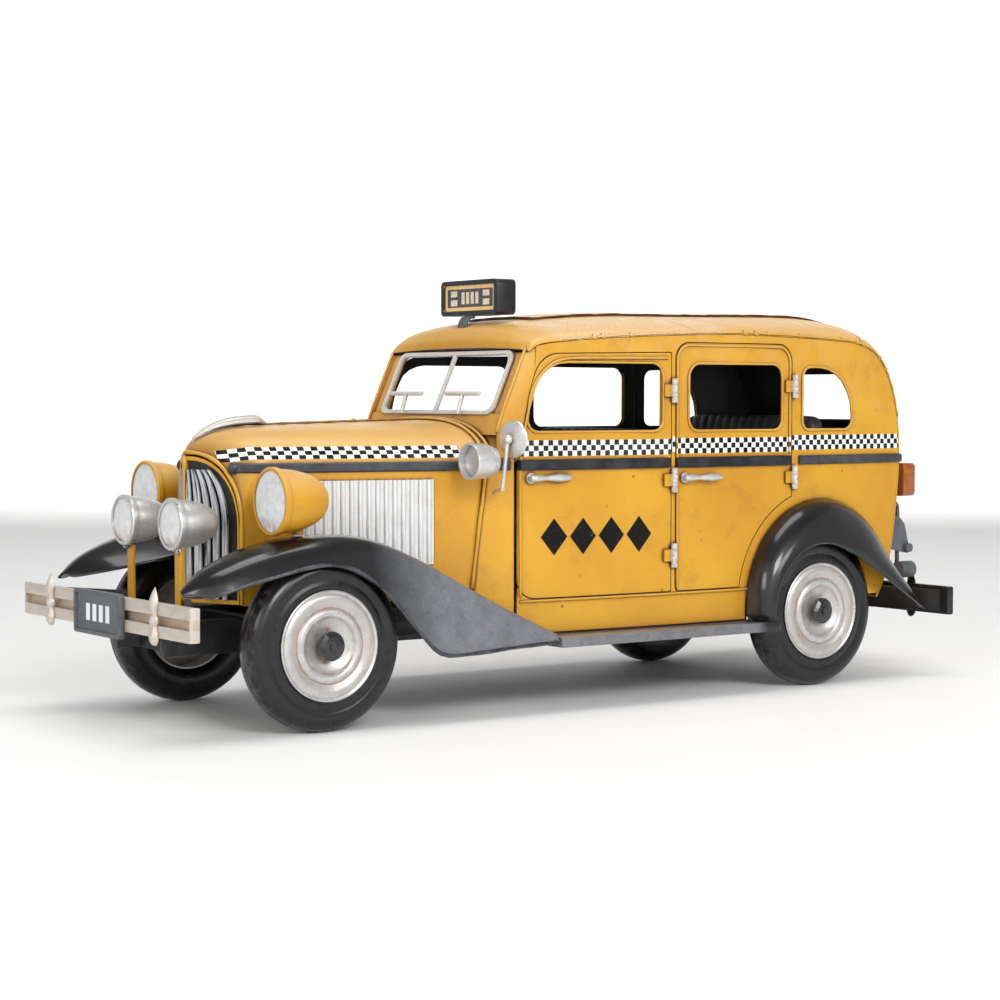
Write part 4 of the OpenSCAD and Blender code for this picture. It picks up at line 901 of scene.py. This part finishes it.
WHEEL_MIDDLE = 55.0
TYRE_PROFILE = [
    (19.6, 5.4), (20.4, 6.5), (21.6, 7.0), (23.4, 6.9), (24.4, 6.5), (24.9, 6.35), (25.5, 6.6), (27.4, 6.95),
    (29.4, 6.6), (31.0, 5.6), (32.2, 4.1), (32.8, 2.4), (32.95, 1.3), (32.8, 0.9), (33.0, 0.4), (33.0, -0.6),
    (32.8, -2.6), (32.1, -4.4), (30.6, -6.0), (28.0, -6.9), (24.0, -7.0), (21.0, -6.6), (19.6, -5.6),
]
DISC_PROFILE = [
    (2.02, 5.0), (3.4, 4.9), (6.4, 5.3), (8.8, 6.0), (10.3, 6.7), (10.75, 7.15), (11.3, 7.9), (12.3, 8.25),
    (13.3, 8.1), (14.1, 7.5), (14.45, 7.05), (14.9, 7.1), (15.7, 7.45), (17.0, 7.95), (18.3, 8.0),
    (19.3, 7.6), (19.75, 7.3), (20.1, 7.5), (20.6, 7.75), (21.0, 7.5), (21.0, 7.0), (19.58, 6.6),
    (19.58, -5.0), (18.9, -5.0), (18.9, 5.8), (12.0, 4.6), (5.0, 4.0), (2.02, 4.0),
]


for place, axle in (("front", FRONT_AXLE), ("rear", REAR_AXLE)):
    tyre_look = tyre_rubber(f"{place}_tyre_rubber", axle)
    disc_look = disc_silver(f"{place}_disc_paint", axle)
    for part, profile, look, slot_name in (("tyre", TYRE_PROFILE, tyre_look, "tyre_black"),
                                           ("disc", DISC_PROFILE, disc_look, "disc_silver")):
        node = f"{place}_{part}s"
        left = lathe(profile, (axle.x, WHEEL_MIDDLE, axle.z), (0, 1, 0), 128)
        wheels = add(f"{place}_{part}_pair", joined(left, mirrored(left)), look, NODES[node]["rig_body"],
                     angle=50)
        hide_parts(node)

# ---- wires, lips and seams on the cabin

WIRE_RADIUS = 0.62
LIP_LIFT, WIRE_LIFT = 0.05, 0.15
POST_HALF = 49.0


def wire(label, path, radius, look, body="root", closed=False, sides=8):
    """A wire along a path as a piece of its own."""
    add(label, tube(path, radius, sides, closed), look, body)


def hand_made(radius, amount=0.12, cycles=9):
    """A wire radius that swells and thins a little along its length."""
    phase = RANDOM.uniform(0, 6.28)
    return lambda share: radius * (1 + amount * sin(phase + cycles * 6.28 * share))


FRONT_WINDOW = rounded([(-36.5, 112, 5), (31.4, 112, 5), (27.5, 140.5, 18), (-36.5, 140.5, 6)])
REAR_WINDOW = rounded([(-103, 112, 5), (-50, 112, 5), (-50, 140.5, 6), (-103, 140.5, 6)])
QUARTER_WINDOW = rounded([(-146.5, 112, 5), (-115, 112, 4), (-115, 139.5, 5), (-146.5, 139.5, 21)])
FRONT_DOOR_WIRE = smooth_line([(33.8, 46), (33.9, 70), (34.0, 95), (32.6, 109), (30.2, 121), (26.6, 131.5),
                               (21, 138.6), (13, 141.6), (0, 142.2), (-20, 142.4), (-38.6, 142.6)], 5)
REAR_DOOR_WIRE = [(-43.9, z) for z in (46, 60, 80, 95.5, 102)]
REAR_DOOR_WIRE += rounded([(-43.9, 110, 0), (-43.9, 148, 6), (-107.4, 148, 7), (-107.4, 110, 0)])
REAR_DOOR_WIRE.append((-107.4, 102))
SEAM = smooth_line([(14, 149.6), (-20, 152), (-75, 153.8), (-130, 152.3), (-152, 150.3), (-165, 144),
                    (-173, 132), (-177.5, 117.7)], 9)

for side, word in SIDES:
    pieces = (
        ("front_window_lip", FRONT_WINDOW, True, f"door_front_{word}", FRONT_DOOR_PAINT),
        ("rear_window_lip", REAR_WINDOW, True, f"door_rear_{word}", REAR_DOOR_PAINT),
        ("quarter_window_lip", QUARTER_WINDOW, True, "root", SIDE_PAINT),
        ("front_door_wire", FRONT_DOOR_WIRE, False, f"door_front_{word}", FRONT_DOOR_PAINT),
        ("rear_door_wire", REAR_DOOR_WIRE, False, f"door_rear_{word}", REAR_DOOR_PAINT),
        ("sill_wire", [(x, 43.9) for x in range(34, -95, -8)], False, "root", SIDE_PAINT),
    )
    for label, outline, closed, body, look in pieces:
        path = on_side(outline, side, LIP_LIFT if closed else WIRE_LIFT)
        wire(f"{label}_{word}", path, hand_made(WIRE_RADIUS), look, body, closed)

# the soldered seam under the turret, with its lumps
for side, word in SIDES:
    line = on_side(SEAM, side, 0.0)
    shapes = [tube(line, hand_made(0.42, 0.35, 17), 8)]
    for k in range(16):
        here = line[RANDOM.randrange(2, len(line) - 12)]
        size = RANDOM.uniform(0.7, 1.3)
        lump = [(0, size * 0.5), (size * 0.6, size * 0.42), (size, 0.1), (size * 1.1, -0.3)]
        shapes.append(lathe(lump, here, (0, side, 0), 12))
    add(f"seam_solder_{word}", joined(*shapes), ROOF_PAINT)

# the wire down the outer edge of each windscreen post
for side, word in SIDES:
    post = [(44.3, 112.4), (41.2, 121), (36.8, 131), (32.2, 141.5), (30.2, 145.6)]
    line = [(x, side * POST_HALF, z) for x, z in smooth_line(post, 5)]
    wire(f"screen_post_wire_{word}", line, hand_made(0.7), PLAIN_OCHRE)

# the painted band between each windscreen post and the front door
PILLAR_BACK = [(35.2, 102), (34.2, 106), (32.6, 114), (31.2, 121), (29.9, 127), (28.2, 133), (26.2, 139),
               (24.5, 143), (23.8, 147.2)]
PILLAR_FRONT = [(44.2, 102), (44.2, 106), (43.7, 114), (41.2, 121), (38.6, 127), (35.9, 133), (33.3, 139),
                (31.5, 143), (29.2, 147.2)]


def ruled(rows, thickness=0.7):
    """A thin sheet through rows of points, with its second face inward in y."""
    outer = [Vector(p) for row in rows for p in row]
    inner = [Vector((p.x, p.y - copysign(thickness, p.y), p.z)) for p in outer]
    return slab(outer, inner, len(rows[0]))[0]


for side, word in SIDES:
    cover = []
    for back, ahead in zip(smooth_line(PILLAR_BACK, 3), smooth_line(PILLAR_FRONT, 3)):
        start, step = skin_y(back.x) - 0.1, POST_HALF + 0.25 - (skin_y(back.x) - 0.1)
        cover.append([(back.x + (ahead.x - back.x) * f,
                       side * (start + step * f + 0.35 * sin(pi * f)), back.y)
                      for f in (0, 0.2, 0.4, 0.6, 0.8, 1)])
    add(f"pillar_cover_{word}", ruled(cover), ROOF_PAINT, angle=50)

# the dark strip that closes the slit between the sill and the running board, a dark sheet standing in for
# the shade under the sill
for side, word in SIDES:
    apron = [[(x, side * (skin_y(x) - 1.3), z) for z in (29.0, 33.0)] for x in range(-84, 36, 8)]
    add(f"sill_apron_{word}", ruled(apron, 0.5), CHASSIS_PAINT, smooth=False)

# ---- hood: wires, hinge line, belt

HOOD_TREE = tree("hood_shell", "cowl_panel")
SHELL_TREE = tree("hood_shell")
ROOF_TREE = tree("roof_panel", "rear_panel")


def drop(tree_of, x, y):
    """The point of a skin straight below (x, y)."""
    return tree_of.ray_cast(Vector((x, y, 400)), Vector((0, 0, -1)))[0]


def hood_ring(skin, plane, lift, low_z):
    """Points over the hood, down to low_z on both sides, where plane(z) gives x, lifted off the skin."""
    middle, side_steps, arc_steps = 84.0, 8, 40
    side_line, arc = [], []
    for k in range(side_steps):
        z = low_z + (middle - low_z) * k / side_steps
        hit = skin.ray_cast(Vector((plane(z), 120, z)), Vector((0, -1, 0)))[0]
        if hit is not None:
            side_line.append(hit + Vector((0, lift, 0)))
    for k in range(arc_steps + 1):
        turn = pi * k / arc_steps
        outward = Vector((0, cos(turn), sin(turn)))
        z = middle
        for _ in range(3):
            start = Vector((plane(z), 0, middle)) + outward * 90
            hit = skin.ray_cast(start, -outward)[0]
            if hit is None:
                break
            z = hit.z
        if hit is not None and hit.z > low_z:
            arc.append(hit + outward * lift)
    if low_z > middle:
        return arc
    return side_line + arc + [Vector((p.x, -p.y, p.z)) for p in reversed(side_line)]


def hood_rear(z):
    """x of the hood's rear edge at height z: it leans back, and more so at the top."""
    return 52.6 - 0.1175 * (z - 50.6) - 0.2 * max(0, z - 94)


UPSTAND_FOOT_X, UPSTAND_STEPS = 44.2, 24
# name, skin, shift from the hood's rear edge, least distance from the upstand, and lowest z
HOOD_WIRES = (("hood_rear_wire", SHELL_TREE, 0.9, 4.0, 50.0), ("cowl_wire", HOOD_TREE, -3.4, 1.1, 96.0))
for label, skin, shift, ahead, foot_z in HOOD_WIRES:
    ring = hood_ring(skin, lambda z: max(hood_rear(z) + shift, UPSTAND_FOOT_X + ahead), 0.5, foot_z)
    wire(label, ring, hand_made(0.8), PLAIN_OCHRE)

# the low upstand under the windscreen, leaning back with it: two skins joined along the top
UPSTAND_SECTION = ((UPSTAND_FOOT_X, 111.0), (43.3, 114.0), (42.3, 116.8), (41.5, 119.5))
across = [48.4 * (2 * k / UPSTAND_STEPS - 1) for k in range(UPSTAND_STEPS + 1)]
upstand = [(x, y, z) for y in across for x, z in UPSTAND_SECTION]
behind = len(upstand)
skin = quads(len(across), len(UPSTAND_SECTION), around=False)
top = range(3, behind, 4)
faces = skin + [[behind + v for v in reversed(face)] for face in skin]
faces += [[a, b, behind + b, behind + a] for a, b in zip(top, top[1:])]
upstand += [(x - 0.8, y, z) for x, y, z in upstand]
add("screen_upstand", (upstand, faces), SCREEN_PAINT, angle=40)

# the hood's middle hinge line runs into the nose
hinge_line = [drop(HOOD_TREE, x, 0) for x in range(54, 154, 4)]
wire("hood_hinge_line", [p + Vector((0, 0, 0.55)) for p in hinge_line], hand_made(0.5), HINGE_BROWN)


def nose_edge(share_in=1.0, lift=0.0):
    """The outline of the nose opening, from the left foot over the top to the right foot."""
    half = NOSE_HALF * share_in
    up = [(half, z) for z in (NOSE_FOOT, 56, 66, 75)]
    up += [(half * cos(a) ** 0.85, NOSE_SHOULDER + NOSE_RISE * share_in * sin(a))
           for a in (radians(d) for d in range(0, 90, 6))]
    line = up + [(0, NOSE_SHOULDER + NOSE_RISE * share_in)] + [(-y, z) for y, z in reversed(up)]
    return [(NOSE_X - abs(y) * NOSE_REACH / NOSE_HALF + lift, y, z) for y, z in line]


wire("nose_wire", nose_edge(0.985, 0.2), hand_made(0.95), PLAIN_OCHRE)
wire("nose_ridge", [(NOSE_X + 0.9, 0, z) for z in range(47, 105, 4)], hand_made(0.95), PLAIN_OCHRE)


def strip(path, outs, half_height, thickness):
    """A flat moulding along a path, standing out along outs and half_height up and down."""
    profile = [(-half_height, -0.2), (-half_height, thickness * 0.6), (-half_height * 0.75, thickness),
               (half_height * 0.75, thickness), (half_height, thickness * 0.6), (half_height, -0.2)]
    points = []
    for here, out in zip(path, outs):
        points += [Vector(here) + Vector((0, 0, up)) + out * away for up, away in profile]
    return with_ends(points, len(profile))


BELT_LOW_Z, BELT_TOP_Z = (box_of("belt_mouldings")[k].z for k in (0, 1))
BELT_MIDDLE, BELT_HALF = (BELT_LOW_Z + BELT_TOP_Z) / 2, (BELT_TOP_Z - BELT_LOW_Z) / 2
CABIN_TREE = tree("side_panel_left", "side_panel_right", "rear_panel")


def belt_from(skin, starts):
    """A belt strip through the skin's points under rays (start, direction)."""
    path, outs = [], []
    for start, direction in starts:
        hit, normal = skin.ray_cast(Vector(start), Vector(direction))[:2]
        if hit is not None:
            out = Vector((normal.x, normal.y, 0)).normalized()
            path.append(hit)
            outs.append(out if out.dot(Vector(direction)) < 0 else -out)
    return strip(path, outs, BELT_HALF, 1.1), path


belt_parts = []
for side, _ in SIDES:
    rays = [((x, side * 120, BELT_MIDDLE), (0, -side, 0)) for x in range(150, 37, -2)]
    shape, path = belt_from(HOOD_TREE, rays)
    boss = [(0, 1.9), (1.5, 1.7), (2.2, 1.0), (2.3, -0.3)]
    belt_parts += [shape, lathe(boss, path[0], (0.5, side, 0), 20)]
rays = [((x, 120, BELT_MIDDLE), (0, -1, 0)) for x in range(-113, -172, -3)]
for k in range(41):
    turn = radians(118 + 124 * k / 40)
    outward = Vector((cos(turn), sin(turn), 0))
    rays.append((Vector((-140, 0, BELT_MIDDLE)) + outward * 150, -outward))
rays += [((x, -120, BELT_MIDDLE), (0, 1, 0)) for x in range(-172, -112, 3)]
belt_parts.append(belt_from(CABIN_TREE, rays)[0])
belt = add("belt_strips", joined(*belt_parts), BELT_PAINT, angle=40)
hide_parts("belt_mouldings")

# ---- hood ornament: a ribbed teardrop lying on the nose

ORNAMENT_BACK, ORNAMENT_FRONT, ORNAMENT_STEPS, ORNAMENT_ROUND = 122.0, 154.5, 30, 36
points = []
for i in range(ORNAMENT_STEPS + 1):
    f = i / ORNAMENT_STEPS
    x = ORNAMENT_BACK + (ORNAMENT_FRONT - ORNAMENT_BACK) * f
    top = drop(HOOD_TREE, min(x, 154.0), 0)
    grow = min(1, (0.25 + f * 6)) * (1 - f ** 3.2 * 0.82)
    for k in range(ORNAMENT_ROUND):
        turn = 2 * pi * k / ORNAMENT_ROUND
        rib = 1 + 0.07 * cos(turn * 12)
        y = 3.1 * grow * rib * cos(turn)
        z = 2.5 * grow * rib * sin(turn)
        points.append((x, y, top.z + 0.5 + max(z, -0.6) + 1.1 * grow))
ornament = add("ribbed_ornament", with_ends(points, ORNAMENT_ROUND), ORNAMENT_TIN,
               angle=60)
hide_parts("hood_ornament")

# ---- the raised middle sheet of the roof

ROOF_SHEET_HALF, ROOF_SHEET_FRONT, ROOF_SHEET_BACK, ROOF_SHEET_LIFT = 23.0, 8.0, -163.0, 1.0
xs = [ROOF_SHEET_FRONT + (ROOF_SHEET_BACK - ROOF_SHEET_FRONT) * i / 56 for i in range(57)]
ys = [ROOF_SHEET_HALF * (2 * k / 16 - 1) for k in range(17)]
top_points, low_points = [], []
for x in xs:
    for y in ys:
        taper = 1 - 0.10 * max(0, (-110 - x) / 50) ** 2
        below = drop(ROOF_TREE, x, y * taper)
        wave = 0.12 * sin(x * 0.31) + 0.08 * sin(x * 0.83 + 1)
        tail = 0.9 * max(0, (-154 - x) / 9) ** 2
        top_points.append((x, y * taper, below.z + ROOF_SHEET_LIFT + wave + tail))
        low_points.append((x, y * taper, below.z + 0.02 + tail))
shape, rim = slab(top_points, low_points, len(ys))
add("roof_middle_sheet", shape, ROOF_SHEET_PAINT, angle=40)
rim_wire = [Vector(top_points[i]) - Vector((0, 0, 0.35)) for i in rim]
wire("roof_sheet_edge", rim_wire, hand_made(0.42, 0.2, 31), EDGE_DARK, closed=True, sides=6)

# ---- fenders: rolled rims

FRONT_LIP = smooth_line([(186.2, 53.6, 53.8), (177, 61.5, 54.2), (161.5, 65.6, 58.8), (130, 66, 63.8),
                         (108, 66, 53.4), (82.4, 66, 26.4), (52, 66.3, 27.4), (26.4, 66.5, 28.6)], 8)
REAR_LIP = [(-118 + 29.2 * cos(a), 66, 34 + 29.2 * sin(a))
            for a in (radians(d) for d in range(2, 134, 6))]
REAR_LIP += [(-150, 65, 55), (-165, 63, 46.5), (-178, 61, 37), (-185, 60, 31.5)]
for side, word in SIDES:
    for place, lip in (("front", FRONT_LIP), ("rear", REAR_LIP)):
        fender = tree(f"{place}_fender_{word}")
        line = [fender.find_nearest(Vector((p[0], side * p[1], p[2])))[0] for p in lip]
        for _ in range(2):
            eased = [(a + b * 2 + c) / 4 for a, b, c in zip(line, line[1:], line[2:])]
            line = [line[0]] + eased + [line[-1]]
        wire(f"{place}_fender_rim_{word}", line, hand_made(0.75), RIM_PAINT, sides=10)

# ---- seats


def pleated(centre, half, lean, pleat, depth, along, squareness=0.3):
    """A stuffed cushion: a closed rounded form with sewn channels across its y direction.

    half is (x, y, z), lean shears x with z, and along is "top" or "front", the face with the pleats.
    """
    stations, around = 129, 44
    points = []
    for i in range(stations):
        share = 2 * i / (stations - 1) - 1
        y = half[1] * copysign(abs(share) ** 0.92, share)
        end = max(0.05, 1 - abs(share) ** 14) ** 0.5
        puff = abs(sin(pi * (y + half[1]) / pleat)) ** 0.55
        crown = 1 - 0.06 * share * share
        for c, s in turns(around):
            u = copysign(abs(c) ** squareness, c)
            v = copysign(abs(s) ** squareness, s)
            dx, dz = u * half[0] * (0.7 + 0.3 * end), v * half[2] * (0.75 + 0.25 * end)
            face = v if along == "top" else u
            sink = depth * (1 - puff) * max(0, face)
            if along == "top":
                dz = dz * crown - sink
            else:
                dx = dx * crown - sink
            points.append((centre[0] + dx + lean * dz, y, centre[2] + dz))
    return with_ends(points, around)


SEATS = {"front_seat": 6.4, "rear_seat": 5.6}
for node, pleat in SEATS.items():
    low, high = box_of(node)
    back_x = low.x + 6.4
    seat_top = high.z - 55 + 13.5 if node == "rear_seat" else 72.0
    cushion_low = seat_top - 14
    cushion = pleated(((low.x + 9 + high.x) / 2, 0, (seat_top + cushion_low) / 2),
                      ((high.x - low.x - 9) / 2, high.y - 0.5, (seat_top - cushion_low) / 2),
                      0, pleat, 1.1, "top")
    back_middle = (high.z + seat_top - 6) / 2
    back_half = (high.z - seat_top + 6) / 2
    back = pleated((back_x + 2.2, 0, back_middle), (4.8, high.y - 0.3, back_half), -0.15, pleat, 1.1,
                   "front")
    for label, shape in (("cushion", cushion), ("backrest", back)):
        piece = add(f"{node}_{label}", shape, SEAT_CLOTH)
        if label == "cushion":
            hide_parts(node)
    piping = [(back_x - 3.8 + 2.2, y, high.z - 1.4) for y in range(int(low.y) + 3, int(high.y) - 2, 4)]
    wire(f"{node}_piping", piping, 0.8, GLOSS_BLACK)
    plinths = []
    for y in (-32, 32):
        ring = ((low.x + 12, y - 9), (high.x - 6, y - 9), (high.x - 6, y + 9), (low.x + 12, y + 9))
        plinths.append(with_ends([(*corner, z) for z in (42.4, cushion_low) for corner in ring], 4))
    add(f"{node}_plinths", joined(*plinths), CHASSIS_PAINT, smooth=False)

# ---- small curls on top of the fog lamp posts

post_high = box_of("fog_lamp_posts")[1]
for side, word in SIDES:
    y = side * (post_high.y - 2.2)
    x, z = post_high.x + 0.8, 68.0
    curl = [(x + 1.4 * (1 - 0.06 * k) * cos(k * 0.7), y + side * (1.2 + 0.12 * k),
             z + 1.4 * (1 - 0.06 * k) * sin(k * 0.7)) for k in range(12)]
    wire(f"post_curl_{word}", curl, 0.55, TIN)

# ---- stage, light and camera

STAGE_FLAT, STAGE_CURVE, STAGE_WALL = 2600, 1500, 3600


bowl = [(0.0, 0.0), (STAGE_FLAT, 0.0)]
bowl += [(STAGE_FLAT + STAGE_CURVE * sin(a), STAGE_CURVE * (1 - cos(a)))
         for a in (k * pi / 16 for k in range(1, 9))]
bowl.append((STAGE_FLAT + STAGE_CURVE, STAGE_WALL))
bowl_points = [(r * c, r * s, z) for c, s in turns(64) for r, z in bowl[1:]] + [(0, 0, 0)]
rings = len(bowl) - 1
bowl_faces = quads(64, rings, around=False, closed=True)
bowl_faces += [[64 * rings, k * rings, (k + 1) % 64 * rings] for k in range(64)]
paper = Graph("studio_white", roughness=0.7)
paper.colour = paper.blend(paper.noise(60, 2), srgb(244, 244, 243), srgb(240, 240, 240))
floor = placed("studio_floor", mesh_of("studio_floor", (bowl_points, bowl_faces), paper.finish()))
floor.data.flip_normals()

world = bpy.data.worlds.new("studio")
bpy.context.scene.world = world
world.use_nodes = True
sky = world.node_tree.nodes["Background"]
sky.inputs["Color"].default_value = (1.0, 1.0, 1.0, 1.0)
sky.inputs["Strength"].default_value = 0.27
bpy.context.scene.view_settings.view_transform = "Standard"


def soft_box(name, place, size, watts, aim=(0, 0, 0.07)):
    """A rectangular lamp at place, in metres, turned towards aim."""
    lamp = bpy.data.lights.new(name, "AREA")
    lamp.shape = "RECTANGLE"
    lamp.size, lamp.size_y = size
    lamp.energy = watts
    obj = placed(name, lamp)
    obj.location = place
    obj.rotation_euler = (Vector(aim) - Vector(place)).to_track_quat("-Z", "Y").to_euler()
    obj.visible_camera = False


soft_box("top_box", (0.0, 0.1, 1.55), (1.1, 0.7), 10.5)
soft_box("key_box", (0.35, 1.5, 0.9), (0.6, 0.4), 11.5)
soft_box("side_box", (-0.32, 1.5, 0.62), (0.55, 0.3), 4)
soft_box("front_box", (1.5, 0.55, 0.7), (0.5, 0.5), 5)
for name, place in (("wall_box_far", (-1.0, -1.4, 1.6)), ("wall_box_near", (1.0, 1.4, 1.6))):
    soft_box(name, place, (1.6, 1.6), 52, aim=(3.2 * place[0], 3.2 * place[1], 0.35))

CAMERA_PLACE = Vector((0.5712, 0.7925, 0.1266))
CAMERA_YAW, CAMERA_PITCH, CAMERA_ROLL = 0.619477, 0.0370104, 0.0016
camera_data = bpy.data.cameras.new("camera")
camera_data.lens = 82.16
camera_data.sensor_width = 36
camera_data.shift_x, camera_data.shift_y = -0.00336, -0.0195
camera_data.clip_start, camera_data.clip_end = 0.01, 50
camera = placed("camera", camera_data)
forward = Vector((-sin(CAMERA_YAW) * cos(CAMERA_PITCH),
                  -cos(CAMERA_YAW) * cos(CAMERA_PITCH), -sin(CAMERA_PITCH)))
turned = forward.to_track_quat("-Z", "Y").to_matrix().to_4x4() @ Matrix.Rotation(CAMERA_ROLL, 4, "Z")
camera.matrix_world = Matrix.Translation(CAMERA_PLACE) @ turned
bpy.context.scene.camera = camera
